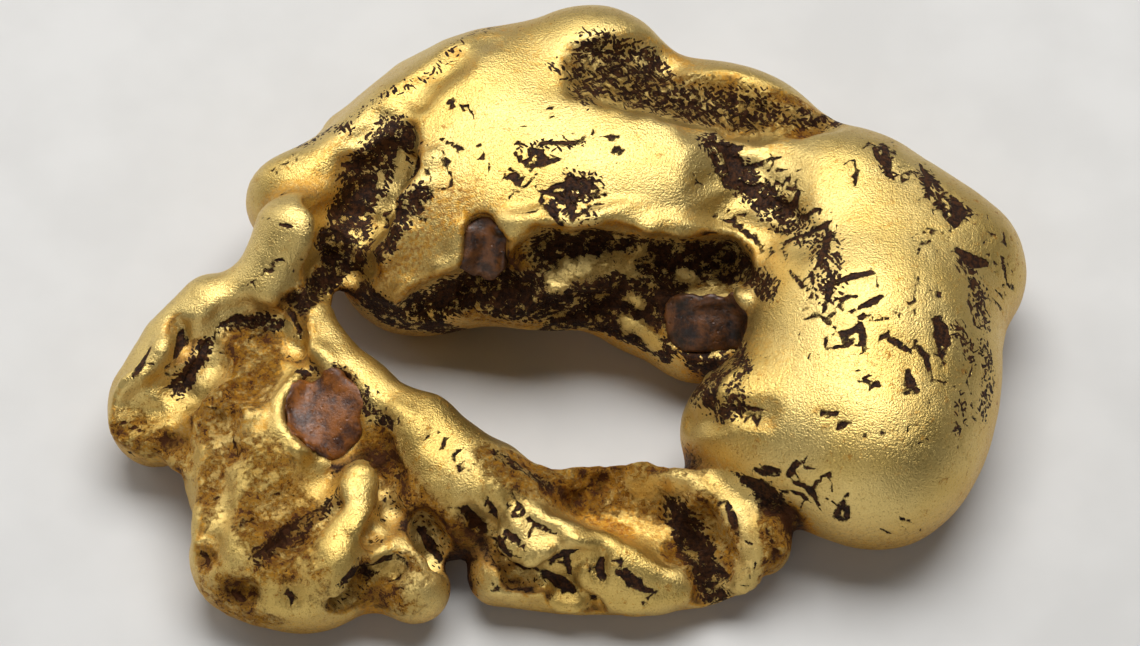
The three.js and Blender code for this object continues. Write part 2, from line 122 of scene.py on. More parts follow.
def unit(vectors):
    return vectors / np.maximum(np.linalg.norm(vectors, axis=-1, keepdims=True), TINY)


def sight_lines(spots):
    """Directions from the eye through columns and rows of the photograph."""
    spots = np.asarray(spots, float)
    across = (spots[..., :1] - MIDDLE_COLUMN) / FOCAL * np.array([1.0, 0.0, 0.0])
    up = (MIDDLE_ROW - spots[..., 1:2]) / FOCAL * VIEW_UP
    return unit(across + up - TO_EYE)


def seen_at(column, row, height):
    line = sight_lines([column, row])
    return EYE + line * (height - EYE[2]) / line[2]


def lump(name, middle, halves, turn=0):
    """A rounded lump: its middle, its three half lengths, and its turn about Z."""
    angle = math.radians(turn)
    cos, sin = math.cos(angle), math.sin(angle)
    axes = np.array([[cos, -sin, 0], [sin, cos, 0], [0, 0, 1]])
    return {"name": name, "centre": seen_at(*middle), "halves": np.array(halves, float), "axes": axes}


def rope(name, points):
    """A rounded rod through several points, each with its own radius."""
    knots = [(seen_at(column, row, height), radius) for column, row, height, radius in points]
    return {"name": name, "knots": knots}


def lump_distance(piece, p):
    scaled = ((p - piece["centre"]) @ piece["axes"]) / piece["halves"]
    level = np.sqrt(np.einsum("ij,ij->i", scaled, scaled))
    steep = scaled / piece["halves"]
    slope = np.sqrt(np.einsum("ij,ij->i", steep, steep))
    return level * (level - 1) / np.maximum(slope, TINY)


def rope_distance(piece, p):
    knots = piece["knots"]
    nearest = np.full(len(p), FAR)
    for (start, r0), (end, r1) in zip(knots, knots[1:] or knots):
        way = end - start
        along = np.clip((p - start) @ way / (way @ way + TINY), 0, 1)
        off = p - start - along[:, None] * way
        nearest = np.minimum(nearest, np.sqrt(np.einsum("ij,ij->i", off, off)) - r0 - (r1 - r0) * along)
    return nearest


def piece_distance(piece, p):
    return rope_distance(piece, p) if "knots" in piece else lump_distance(piece, p)


def smooth_min(a, b, blend):
    overlap = np.maximum(blend - np.abs(a - b), 0) / blend
    return np.minimum(a, b) - overlap * overlap * blend * 0.25


# The lumps of both arms.
THICK_ARM = [
    lump("main dome", [545, 183, 7], [10.5, 11, 6.8]),
    lump("top knob", [592, 72, 9], [5.2, 4.2, 4.8]),
    lump("left slope", [440, 212, 6.5], [6.8, 7, 6], 20),
    lump("left shoulder", [297, 207, 6.5], [3.2, 2.4, 4]),
    rope("outer flank", [
        [318, 185, 5, 2.4], [365, 153, 5.5, 3.3], [430, 113, 6.5, 3.9], [490, 94, 8, 3.9],
    ]),
    rope("crest", [[303, 200, 8, 2.3], [354, 168, 9, 2.7], [412, 130, 9.5, 3.3], [470, 112, 9.5, 4]]),
    lump("left foot", [412, 276, 4.6], [4.4, 3.4, 4.3]),
    lump("middle", [650, 198, 7], [8.5, 7.5, 6.6]),
    lump("back hump", [735, 134, 6], [6.5, 4.2, 5.2], -22),
    lump("upper right slope", [838, 228, 6.4], [8.2, 7, 6.4], -20),
    lump("right shoulder", [938, 272, 5.6], [5.8, 5.6, 5.6], 0),
    lump("right dome", [865, 335, 6.8], [8, 8.4, 6.6]),
    lump("right flank", [930, 375, 5], [4.2, 7.2, 5], 8),
    lump("front lobe", [845, 433, 6], [8, 6.6, 6]),
    lump("front tip", [886, 467, 5.4], [4.8, 4.8, 5.2]),
    lump("inner lobe", [744, 432, 5.2], [4.1, 3.6, 4.8]),
    lump("inner corner", [700, 335, 3.8], [3.4, 3, 3.6]),
    lump("inner tip", [645, 312, 3.6], [3, 2.2, 3]),
]
THIN_ARM = [
    rope("knob", [[297, 237, 10, 2.9], [282, 262, 9.2, 2.5], [270, 288, 8.2, 2.4]]),
    rope("knob crust", [[320, 245, 8.6, 2.3], [324, 272, 7.4, 1.9], [308, 302, 7, 1.6]]),
    rope("arch", [[268, 300, 7.6, 2], [215, 313, 7, 2.6], [175, 347, 6, 2.3], [148, 392, 5, 2.3]]),
    lump("left lobe", [155, 423, 3.8], [2.9, 2.6, 3.4]),
    lump("basin", [250, 392, 4.4], [5.4, 6.6, 4.2]),
    lump("arm middle", [270, 475, 4], [5.4, 6.4, 4.4]),
    lump("arm foot", [248, 558, 3.8], [3.7, 3.8, 3.8]),
    lump("arm foot right", [302, 590, 3.6], [4.2, 2.6, 3.2]),
    rope("S ridge", [[358, 490, 6.6, 1.7], [347, 525, 6.2, 2], [330, 562, 5.4, 2.2]]),
    rope("foot bar", [
        [335, 562, 5.2, 1.9], [378, 555, 4.8, 1.7], [410, 567, 4, 2.1], [414, 588, 3.3, 2.3],
    ]),
    lump("foot joint", [370, 575, 3], [2.6, 2, 2.4]),
    rope("right rail", [
        [305, 315, 7.6, 1.5], [340, 367, 7.5, 1.6], [385, 404, 7.4, 1.6], [420, 422, 7, 1.9],
    ]),
    rope("diagonal", [
        [432, 442, 6.4, 2.3], [490, 495, 5.8, 2.9], [560, 548, 4.8, 2.4], [640, 572, 3.6, 2.1],
        [700, 580, 3, 1.6],
    ]),
    lump("web", [440, 492, 3.9], [4.6, 4.6, 3.9]),
    lump("web left", [345, 425, 4.4], [4.4, 4.6, 4.2]),
    lump("trough floor", [610, 528, 2.2], [8.5, 4.2, 2.2]),
    rope("front edge", [
        [497, 578, 2.6, 1.8], [560, 586, 2.4, 1.8], [640, 586, 2.2, 1.8], [705, 572, 2.2, 1.6],
    ]),
    rope("back rim", [
        [505, 466, 5.3, 1.1], [530, 478, 5, 0.8], [560, 482, 5, 0.9], [600, 480, 5, 1],
        [645, 480, 5, 1.1], [688, 496, 5, 1.3],
    ]),
    rope("end rim", [
        [676, 502, 4.8, 1.4], [710, 508, 4.6, 1.5], [733, 522, 4.3, 1.5], [743, 547, 3.6, 1.4],
        [732, 570, 3, 1.4],
    ]),
    lump("end crust", [768, 545, 3.4], [1.5, 1.6, 2.3]),
    lump("neck", [728, 500, 2.6], [2.6, 2.4, 2.8]),
]


def within(piece, p):
    low, high = piece["reach"]
    return np.nonzero(np.all((p > low) & (p < high), axis=1))[0]


def give_reach(pieces, margin):
    """Keeps the box outside which a piece is left out."""
    for piece in pieces:
        ends = np.array([at for at, _ in piece["knots"]]) if "knots" in piece else piece["centre"][None]
        widest = max(radius for _, radius in piece["knots"]) if "knots" in piece else max(piece["halves"])
        piece["reach"] = (ends.min(axis=0) - widest - margin, ends.max(axis=0) + widest + margin)


give_reach(THICK_ARM + THIN_ARM, ARM_REACH)


def arm_distance(lumps, blend, p):
    """The distance to an arm. A lump is left out where it is too far away to matter."""
    d = np.full(len(p), FAR)
    for piece in lumps:
        near = within(piece, p)
        d[near] = smooth_min(d[near], piece_distance(piece, p[near]), blend)
    return d


def bare_form(p):
    thick = arm_distance(THICK_ARM, THICK_BLEND, p)
    thin = arm_distance(THIN_ARM, THIN_BLEND, p)
    return smooth_min(thick, thin, WELD_BLEND)


def slopes(distance, p, e=0.05):
    """The directions in which a distance grows, from the corners of a small tetrahedron."""
    corners = np.array([[1, 1, 1], [1, -1, -1], [-1, 1, -1], [-1, -1, 1]])
    return unit(sum(distance(p + corner * e)[:, None] * corner for corner in corners))


def landings(spots, form):
    """Where the sight lines through columns and rows meet a form, and the directions out of it there."""
    lines = sight_lines(spots)
    points = EYE + lines * ((SPACE_HIGH[2] - EYE[2]) / lines[:, 2:])
    going = np.arange(len(points))
    for _ in range(SIGHT_STEPS):
        d = form(points[going])
        on = (d >= MISS) & (points[going, 2] > 0)
        going = going[on]
        if not len(going):
            break
        points[going] += lines[going] * np.minimum(d[on], LONGEST_STEP)[:, None] * STRIDE
    return points, slopes(form, points)


# Marks lie on the bare form, where their columns and rows are seen. A third number makes a point thinner.
def mark(name, spots, radius, lift):
    return {"name": name, "spots": spots, "radius": radius, "lift": lift}


def ridge(name, spots, radius, rise):
    return mark(name, spots, radius, rise - radius)


def groove(name, spots, radius, depth):
    return mark(name, spots, radius, radius - depth)


def pocket(stone, spots, radius, depth, sunk):
    """A groove that holds a stone, sunk a little under the brim."""
    return {**groove("pocket", spots, radius, depth), "stone": stone, "sunk": sunk}


def settle(marks, form):
    """Gives each mark its knots on a form, and the box that it reaches."""
    spots = [spot for piece in marks for spot in piece["spots"]]
    points, outs = landings([spot[:2] for spot in spots], form)
    place = 0
    for piece in marks:
        piece["knots"] = []
        for spot in piece["spots"]:
            scale = spot[2] if len(spot) > 2 else 1
            at = points[place] + outs[place] * piece["lift"] * scale
            piece["knots"].append((at, piece["radius"] * scale))
            place += 1
    give_reach(marks, MARK_REACH)


RIDGES = [
    ridge("lip of the cavity", [[375, 283], [400, 291], [430, 284], [458, 262], [463, 240]], 1.3, 0.5),
    ridge("lip over the wall", [[505, 225], [535, 226], [525, 245], [512, 268]], 1.2, 0.7),
    ridge("ledge", [[545, 232], [600, 222], [650, 230], [690, 240], [730, 243], [742, 262]], 1.5, 0.8),
    ridge("wall bump", [[535, 280], [565, 290], [600, 283]], 1.2, 0.6),
    ridge("inner ledge", [[690, 292], [725, 290], [745, 300]], 1.2, 0.7),
    ridge("flute 1", [[432, 160], [418, 195], [400, 230], [385, 262]], 0.9, 0.4),
    ridge("flute 2", [[412, 160], [398, 190], [380, 225], [368, 262]], 0.8, 0.5),
    ridge("lobe ridge", [[172, 345], [150, 372], [128, 388]], 1.1, 0.4),
    ridge("lobe crust", [[118, 428], [140, 443], [170, 455], [190, 473]], 1.1, 0.4),
    ridge("basin sliver", [[216, 372], [224, 394], [232, 412]], 0.6, 0.45),
    ridge("basin edge", [[292, 390], [268, 402], [245, 415]], 0.9, 0.4),
    ridge("stone lip", [[296, 378], [281, 403], [283, 430], [297, 450], [324, 462]], 0.6, 0.5),
    ridge("pointed sliver", [[305, 335], [320, 354], [336, 382, 0.5]], 0.9, 0.6),
    ridge("column", [[205, 405], [208, 450], [204, 500], [202, 540]], 1.1, 0.4),
    ridge("S crest", [[352, 478], [368, 490], [366, 515], [345, 545], [330, 575]], 1.4, 0.4),
    ridge("web crest", [[402, 412], [412, 442], [440, 482]], 1.1, 0.35),
    ridge("jagged ledge", [[508, 548], [538, 562], [556, 552], [576, 547]], 1.0, 0.4),
    ridge("front lip", [[500, 578], [540, 585], [570, 600], [620, 608], [670, 600]], 1.1, 0.35),
    ridge("crust 1", [[770, 532], [776, 545]], 0.9, 0.5),
    ridge("crust 2", [[760, 562], [750, 578]], 0.9, 0.4),
]
GROOVES = [
    groove("cavity", [[402, 138, 0.5], [385, 165], [365, 200], [345, 240], [345, 275]], 2.3, 2.9),
    groove("cavity mouth", [[355, 172], [330, 210]], 1.6, 1.6),
    groove("flank furrow", [[330, 168, 0.6], [362, 140], [400, 108], [440, 72], [480, 42, 0.6]], 2.2, 0.6),
    groove("valley", [[590, 75, 0.7], [640, 88], [690, 98], [750, 110], [815, 122, 0.6]], 3.2, 1.6),
    groove("valley head", [[580, 58, 0.6], [625, 58], [660, 60]], 1.8, 1),
    groove("saddle", [[705, 135, 0.6], [735, 170], [765, 205], [800, 240, 0.5]], 4.5, 0.9),
    groove("undercut", [[545, 262], [600, 258], [655, 265], [715, 268]], 2.2, 1.8),
    groove("undercut left", [[430, 305], [470, 290], [515, 290]], 1.8, 1.2),
    groove("wall hollow", [[640, 300], [610, 310], [560, 312]], 1.6, 1),
    groove("inner lobe crease", [[692, 418], [725, 415], [765, 412, 0.6]], 1.4, 0.5),
    groove("knob crust hollow", [[318, 255, 0.8], [318, 282]], 1.0, 0.8),
    groove("arch edge", [[205, 372], [208, 342], [222, 322], [245, 314], [275, 325], [298, 344]], 1.0, 0.9),
    groove("lobe hollow", [[207, 366], [182, 388], [155, 403], [136, 410]], 1.9, 1.3),
    groove("lobe pit", [[181, 328], [184, 346]], 0.8, 0.8),
    groove("arch pit", [[288, 303], [297, 326]], 0.6, 0.6),
    groove("basin floor", [[262, 350], [250, 378]], 2.6, 0.6),
    groove("vertical furrow", [[222, 424], [224, 462], [220, 507], [214, 547]], 1.3, 0.6),
    groove("S furrow", [[332, 507, 0.6], [305, 531], [278, 547, 0.7]], 1.1, 1.0),
    groove("S furrow upper", [[330, 478], [300, 495], [262, 518, 0.6]], 1.3, 0.5),
    groove("web crease", [[385, 472], [389, 508], [373, 532]], 0.9, 0.9),
    groove("bar notch", [[400, 568, 0.7], [368, 580], [347, 603]], 1.0, 1.3),
    groove("foot pit 1", [[205, 557]], 0.8, 0.6),
    groove("foot pit 2", [[234, 592], [246, 594]], 0.8, 0.7),
    groove("foot pit 3", [[292, 594]], 0.7, 0.6),
    groove("web pit", [[424, 527], [434, 542], [441, 560]], 1.1, 1.6),
    groove("slot 1", [[466, 510, 0.6], [480, 530], [492, 546], [508, 566, 0.7]], 0.9, 1.3),
    groove("slot 2", [[488, 498, 0.6], [497, 518]], 0.6, 0.6),
    groove("slot 3", [[514, 498, 0.7], [530, 521], [553, 540, 0.7]], 0.7, 0.7),
    groove("under the jagged ledge", [[515, 575], [545, 578], [561, 564], [576, 557]], 0.8, 0.9),
    groove("front pit", [[562, 575], [567, 592]], 1.1, 1.0),
    groove("front pit 2", [[601, 558], [600, 575]], 0.7, 0.6),
    groove("front pit 3", [[592, 603]], 0.8, 0.6),
    groove("trough", [[545, 497, 0.7], [595, 520], [650, 535], [690, 562, 0.8]], 2.6, 0.7),
    groove("end hollow", [[680, 507, 0.7], [700, 530], [715, 560], [716, 588]], 1.6, 1.2),
]
POCKETS = [
    pocket("brown_stone", [[323, 404], [326, 420]], 2.3, 2.0, 0.3),
    pocket("dark_stone", [[484, 240], [483, 258]], 1.5, 1.9, 0.7),
    pocket("inner_stone", [[690, 326], [722, 326]], 1.9, 1.9, 0.5),
]
settle(RIDGES + GROOVES + POCKETS, bare_form)


def number_at(corners, seed):
    """A repeatable number from -1 to 1 for each corner of a grid."""
    i, j, k = corners.T
    h = (i * 374761393 + j * 668265263 + k * 1442695041 + seed * 974634777) & 0xFFFFFFFF
    h = ((h ^ (h >> 13)) * 1274126177) & 0xFFFFFFFF
    return ((h ^ (h >> 16)) & 0xFFFF) / 32767.5 - 1


def cloud(p, size, seed):
    """Smooth random numbers from -1 to 1, with lumps of a given size."""
    spot = p / size
    corner = np.floor(spot).astype(np.int64)
    t = spot - corner
    t = t * t * (3 - 2 * t)
    total = np.zeros(len(p))
    for step in np.ndindex(2, 2, 2):
        weight = np.prod(np.where(step, t, 1 - t), axis=1)
        total += weight * number_at(corner + step, seed)
    return total


def clouds(p, size, seed, levels=3):
    return sum(cloud(p, size / 2 ** n, seed + n) / 2 ** n for n in range(levels))


def waver(p):
    """Nearby points, so that what is measured from them gets a natural, uneven edge."""
    x, y, z = (p * WAVER_RATE).T
    off_x = np.sin(y + 1.7 * np.sin(z + 0.6 * x))
    off_y = np.sin(z + 2.1 * np.sin(x - 0.7 * y))
    off_z = np.sin(x + 1.9 * np.sin(y + z))
    return p + WAVER * np.stack((off_x, off_y, off_z), axis=-1)


def with_marks(d, marks, p, wavered, side):
    """Adds ridges to a distance where side is 1, and takes grooves from it where side is -1."""
    for piece in marks:
        near = within(piece, p)
        if len(near):
            d[near] = side * smooth_min(side * d[near], rope_distance(piece, wavered[near]), MARK_BLEND)
    return d


def ridged_form(p):
    return with_marks(bare_form(p), RIDGES, p, waver(p), 1)


def gold_distance(p):
    wavered = waver(p)
    d = with_marks(bare_form(p), RIDGES, p, wavered, 1)
    d = with_marks(d, GROOVES + POCKETS, p, wavered, -1)
    return np.maximum(d, REST - p[:, 2])


def stone_distance(piece, p):
    """A stone fills its pocket to a little under the brim, and stays clear of the gold around it."""
    in_pocket = rope_distance(piece, waver(p)) + STONE_GAP + RAGGED_EDGE * clouds(p, 0.9, 61, 2)
    under_brim = ridged_form(p) + piece["sunk"] - STONE_RISE
    clear = STONE_GAP - gold_distance(p)
    return -smooth_min(smooth_min(-in_pocket, -under_brim, STONE_BLEND), -clear, STONE_BLEND)


def grid_points(low, index, cell):
    return low + np.stack(index, axis=-1) * cell


def sampled(distance, low, high, cell):
    """A distance on a grid, worked out only in the blocks near the surface."""
    blocks = np.ceil((high - low) / (cell * COARSE)).astype(int)
    size = COARSE * cell
    middles = grid_points(low + size / 2, np.indices(blocks).reshape(3, -1), size)
    close = np.abs(distance(middles)) < size * BLOCK_REACH
    values = np.full(blocks * COARSE + 1, FAR)
    near = np.zeros(values.shape, bool)
    for block in np.stack(np.unravel_index(np.nonzero(close)[0], blocks), axis=-1) * COARSE:
        i, j, k = block
        near[i:i + COARSE + 1, j:j + COARSE + 1, k:k + COARSE + 1] = True
    far = ~close.reshape(blocks)
    inside = (distance(middles) < 0).reshape(blocks) & far
    for axis in range(3):
        inside = inside.repeat(COARSE, axis=axis)
    values[:-1, :-1, :-1][inside] = -FAR
    index = np.nonzero(near)
    values[index] = distance(grid_points(low, index, cell))
    return values


def surface(distance, low, high, cell):
    """Corners and four-sided faces of the surface where a distance is zero."""
    values = sampled(distance, low, high, cell)
    inside = values < 0
    cells = tuple(n - 1 for n in values.shape)
    total = np.zeros(cells + (3,))
    count = np.zeros(cells)
    around = {}
    for axis in range(3):
        first = [slice(None)] * 3
        last = [slice(None)] * 3
        first[axis] = slice(None, -1)
        last[axis] = slice(1, None)
        cut = np.stack(np.nonzero(inside[tuple(first)] != inside[tuple(last)]), axis=-1)
        ends = cut + np.eye(3, dtype=int)[axis]
        v0 = values[tuple(cut.T)]
        v1 = values[tuple(ends.T)]
        spot = cut + np.eye(3)[axis] * (v0 / (v0 - v1))[:, None]
        b, c = (axis + 1) % 3, (axis + 2) % 3
        corners = []
        for back_b, back_c in ((1, 1), (0, 1), (0, 0), (1, 0)):
            cell_at = cut.copy()
            cell_at[:, b] -= back_b
            cell_at[:, c] -= back_c
            np.add.at(total, tuple(cell_at.T), spot)
            np.add.at(count, tuple(cell_at.T), 1)
            corners.append(cell_at)
        around[axis] = (corners, v0 < 0)
    number = np.full(cells, -1)
    used = np.nonzero(count)
    number[used] = np.arange(len(used[0]))
    points = low + total[used] / count[used][:, None] * cell
    faces = []
    for corners, outward in around.values():
        ring = np.stack([number[tuple(corner.T)] for corner in corners], axis=-1)
        faces.append(np.where(outward[:, None], ring, ring[:, ::-1]))
    return points, np.concatenate(faces)


def drawn_in(points, distance, rounds=3):
    """Moves points onto the surface where a distance is zero."""
    for _ in range(rounds):
        points = points - slopes(distance, points) * distance(points)[:, None]
    return points


def mesh_object(name, points, faces):
    mesh = bpy.data.meshes.new(name)
    mesh.from_pydata((points * MM).tolist(), [], [tuple(face) for face in faces])
    mesh.shade_smooth()
    obj = bpy.data.objects.new(name, mesh)
    bpy.context.scene.collection.objects.link(obj)
    return obj


def put(obj, name, values):
    """Keeps one number for each corner of a mesh."""
    attribute = obj.data.attributes.new(name, "FLOAT", "POINT")
    attribute.data.foreach_set("value", np.asarray(values, np.float32))


# Dark inclusions as strokes: a width in pixels of the photograph, then columns and rows on its way.
STROKES = {
    "saddle cluster": [
        [6, (698, 139), (716, 163), (726, 187)], [5, (716, 130), (716, 146)],
        [8, (711, 142), (728, 151), (742, 146)], [14, (726, 152), (735, 168), (731, 186)],
        [8, (742, 144), (740, 163)], [4, (735, 168), (754, 166), (781, 156)],
        [3, (752, 175), (771, 170), (802, 170)], [9, (735, 180), (752, 192), (766, 202)],
        [3, (754, 175), (776, 182), (795, 192)], [10, (759, 185), (776, 194)],
        [5, (786, 178), (793, 180)], [8, (798, 194), (795, 204), (781, 211)], [5, (762, 199), (769, 209)],
        [5, (769, 197), (788, 209), (793, 216)], [3, (776, 211), (783, 223), (790, 233)],
        [3, (692, 168), (697, 180), (703, 185)], [5, (716, 214), (733, 223), (750, 235), (769, 247)],
        [3, (728, 209), (738, 221)], [3, (742, 209), (747, 228)], [4, (750, 235), (764, 252)],
        [4, (762, 226), (781, 233), (795, 230)], [5, (786, 240), (805, 235), (824, 226), (830, 221)],
        [3, (778, 242), (800, 247)], [6, (800, 216), (807, 218), (819, 209)], [3, (807, 206), (836, 214)],
        [7, (824, 223), (829, 235), (824, 250), (817, 266)], [4, (795, 242), (822, 245)],
        [3, (764, 259), (771, 254), (776, 245)], [6, (811, 271), (813, 283)],
        [4, (788, 269), (800, 283), (814, 295)], [3, (822, 262), (834, 274)],
        [7, (836, 283), (853, 276), (874, 272)], [6, (834, 274), (829, 293), (824, 310)],
        [4, (841, 298), (853, 295), (858, 298)], [3, (836, 298), (843, 310)],
        [6, (860, 307), (872, 302), (883, 295)], [3, (841, 307), (858, 314), (872, 319), (889, 318)],
        [3, (814, 310), (829, 324), (848, 336)], [6, (838, 334), (853, 331), (860, 324)],
        [6, (860, 322), (864, 336), (865, 353)], [5, (800, 322), (812, 317)], [3, (829, 346), (848, 346)],
        [7, (884, 336), (898, 343), (913, 353)], [3, (895, 312), (908, 317)],
    ],
    "back slope": [
        [4, (855, 161), (858, 170), (853, 190)], [6, (870, 142), (879, 158), (894, 178)],
        [10, (884, 146), (886, 166)], [5, (896, 151), (889, 163)], [3, (880, 144), (896, 142)],
        [4, (906, 173), (913, 170)], [7, (920, 163), (927, 178), (927, 197)], [8, (930, 175), (942, 190)],
        [6, (937, 197), (946, 216), (954, 226)], [15, (954, 199), (959, 211), (955, 224)],
        [6, (958, 209), (978, 214)], [6, (932, 230), (951, 235)], [4, (922, 245), (934, 238)],
        [3, (918, 254), (922, 240)], [15, (958, 250), (972, 261), (986, 263)], [8, (990, 239)],
        [6, (1002, 230), (1006, 245)], [8, (1002, 257), (1006, 276)], [5, (1013, 284), (1015, 290)],
        [5, (918, 276), (915, 302)], [3, (930, 290), (944, 300)], [3, (934, 292), (949, 292)],
        [15, (936, 320), (942, 329), (948, 342)], [4, (970, 276), (970, 302)],
        [7, (970, 302), (976, 326)], [7, (987, 295), (1002, 310)],
        [6, (916, 340), (926, 358), (932, 378)], [12, (936, 336), (946, 345)],
    ],
    "right dome": [
        [2, (803, 349), (816, 347)], [3, (825, 345), (839, 347), (850, 345)],
        [2, (852, 368), (865, 373), (879, 380)], [3, (857, 381), (869, 383), (884, 388)],
        [2, (863, 378), (876, 384)], [6, (821, 414), (828, 415)], [3, (835, 420), (852, 423)],
        [5, (837, 428), (842, 429)], [2, (866, 432), (868, 433)], [2, (882, 433), (891, 435)],
        [9, (908, 373), (912, 383), (917, 391)], [3, (901, 394), (912, 392)], [3, (935, 381), (950, 382)],
        [5, (940, 349), (944, 362)], [5, (974, 366), (967, 383)], [3, (970, 388), (974, 405)],
        [6, (972, 415), (976, 420)], [4, (961, 430), (959, 447)], [2, (912, 422), (918, 426)],
        [2, (927, 437), (935, 445)],
    ],
    "front edge": [
        [7, (797, 462), (790, 473), (788, 477)], [5, (793, 464), (805, 462)], [3, (801, 469), (816, 468)],
        [4, (831, 472), (818, 481), (814, 488)], [5, (793, 483), (805, 486), (814, 496), (820, 509)],
        [4, (780, 492), (793, 493), (810, 496)], [5, (848, 494), (839, 509), (833, 518)],
        [6, (848, 507), (846, 518), (842, 522)], [4, (876, 518), (878, 524)],
        [6, (754, 471), (767, 469), (780, 471)], [5, (763, 475), (780, 475)],
        [16, (744, 480), (760, 487), (774, 495)], [4, (900, 518), (912, 522)],
        [7, (739, 405), (760, 411)], [6, (752, 415), (758, 424)], [6, (733, 407), (743, 415)],
        [9, (745, 343), (739, 358)],
    ],
    "main dome": [
        [6, (448, 103), (454, 107)], [4, (461, 105), (468, 105)],
        [4, (439, 138), (450, 143), (459, 148), (465, 149)], [2, (474, 147), (483, 143), (489, 142)],
        [3, (443, 149), (448, 165), (452, 185)], [3, (430, 156), (443, 163)], [4, (476, 158), (483, 158)],
        [3, (520, 125), (527, 125)], [5, (540, 142), (553, 143), (571, 143), (582, 142)],
        [3, (518, 141), (525, 145)], [5, (514, 152), (525, 163), (533, 156)],
        [7, (531, 149), (540, 152), (542, 158)], [6, (527, 165), (544, 163), (560, 159)],
        [7, (507, 175), (514, 178), (524, 186)], [4, (511, 169), (525, 178)], [4, (591, 127), (597, 136)],
        [7, (609, 135), (618, 135)], [4, (613, 149), (624, 149)], [3, (551, 107), (552, 108)],
        [3, (563, 110), (564, 111)], [5, (571, 174), (566, 185), (553, 185)],
        [9, (584, 178), (588, 185), (582, 193)], [8, (573, 178), (580, 187)],
        [5, (540, 191), (553, 193), (566, 200)], [3, (516, 212), (533, 211), (549, 207)],
        [7, (540, 200), (553, 213), (562, 226)], [7, (566, 193), (571, 209), (571, 222)],
        [2, (584, 196), (597, 198), (610, 193)], [5, (580, 204), (584, 213)], [3, (593, 204), (604, 204)],
    ],
    "left slope": [
        [6, (421, 142), (419, 162), (413, 177)], [3, (428, 153), (441, 160)], [4, (426, 170), (432, 179)],
        [8, (421, 188), (413, 196), (421, 212)], [5, (430, 192), (428, 212)],
        [7, (402, 194), (398, 218), (387, 227)], [6, (395, 227), (387, 246), (376, 261)],
        [4, (385, 214), (376, 229)], [4, (272, 170), (289, 162)], [3, (280, 196), (285, 192)],
        [4, (257, 220), (270, 218)],
    ],
    "ledge of the thin arm": [
        [9, (466, 506), (476, 520), (485, 531)], [8, (484, 530), (500, 542), (511, 556)],
        [6, (506, 556), (524, 566), (540, 568)], [13, (545, 572), (560, 581), (573, 590)],
        [8, (548, 560), (562, 552), (576, 548)], [9, (568, 558), (571, 576)],
    ],
    "slots of the thin arm": [
        [7, (511, 494), (520, 508), (530, 520)], [5, (529, 520), (544, 528), (556, 534)],
        [7, (506, 530), (514, 538), (524, 548)], [6, (488, 500), (493, 508), (498, 518)],
        [4, (506, 503), (513, 518)], [10, (602, 558), (600, 568), (603, 579)],
        [7, (617, 572), (627, 579)], [7, (622, 566), (634, 580), (645, 590)],
        [5, (633, 586), (646, 590), (658, 592)], [5, (615, 560), (623, 561)], [8, (594, 597), (606, 607)],
        [6, (492, 584), (499, 590)], [8, (727, 504), (733, 520), (738, 534)],
        [10, (670, 504), (680, 522), (690, 536)], [9, (700, 560), (712, 588)],
        [5, (764, 528), (774, 545)], [4, (756, 562), (748, 580)],
    ],
    "specks of the thin arm": [
        [3, (430, 428), (441, 434)], [4, (452, 450), (457, 466)], [6, (456, 462), (461, 472)],
        [3, (440, 446), (447, 440)], [8, (462, 508), (472, 526)],
        [11, (420, 528), (430, 545), (441, 561)], [6, (386, 498), (380, 520)],
        [5, (362, 528), (373, 541)], [4, (400, 474), (412, 482)], [4, (345, 470), (356, 462)],
        [3, (406, 500), (414, 508)], [3, (390, 440), (402, 436)],
    ],
    "furrows and pits": [
        [7, (260, 553), (272, 545), (285, 540)], [6, (280, 531), (297, 524)], [6, (300, 520), (317, 508)],
        [5, (266, 562), (254, 556)], [4, (290, 548), (303, 542)], [7, (317, 512), (331, 499)],
        [4, (330, 484), (344, 480)], [5, (244, 524), (256, 516)], [10, (203, 553), (208, 562)],
        [11, (234, 592), (243, 599)], [10, (288, 592), (293, 599)],
        [8, (340, 584), (352, 572), (367, 564)], [7, (366, 565), (384, 558), (403, 559)],
        [5, (402, 574), (394, 590)], [4, (216, 470), (214, 500)], [4, (233, 436), (236, 456)],
        [4, (268, 498), (290, 490)],
    ],
    "arch and lobe": [
        [6, (221, 326), (238, 316), (253, 326)], [5, (217, 329), (212, 346)],
        [6, (284, 301), (292, 314), (301, 332)], [5, (300, 338), (309, 360)],
        [9, (182, 330), (179, 344), (174, 358)], [7, (150, 348), (141, 365), (134, 378)],
        [8, (207, 343), (197, 364), (184, 385)], [5, (124, 423), (134, 428), (147, 432)],
        [5, (176, 400), (190, 388)], [4, (256, 334), (270, 330)], [4, (128, 452), (140, 460)],
        [4, (206, 392), (214, 412)], [4, (160, 470), (176, 480)],
    ],
    "knob": [
        [6, (280, 225), (290, 227)], [5, (309, 226), (322, 231), (328, 229)], [5, (270, 263), (284, 259)],
        [4, (261, 275), (276, 270)], [3, (284, 286), (282, 303)], [3, (299, 263), (307, 257)],
        [3, (246, 286), (256, 280)], [3, (314, 242), (318, 250)],
    ],
}

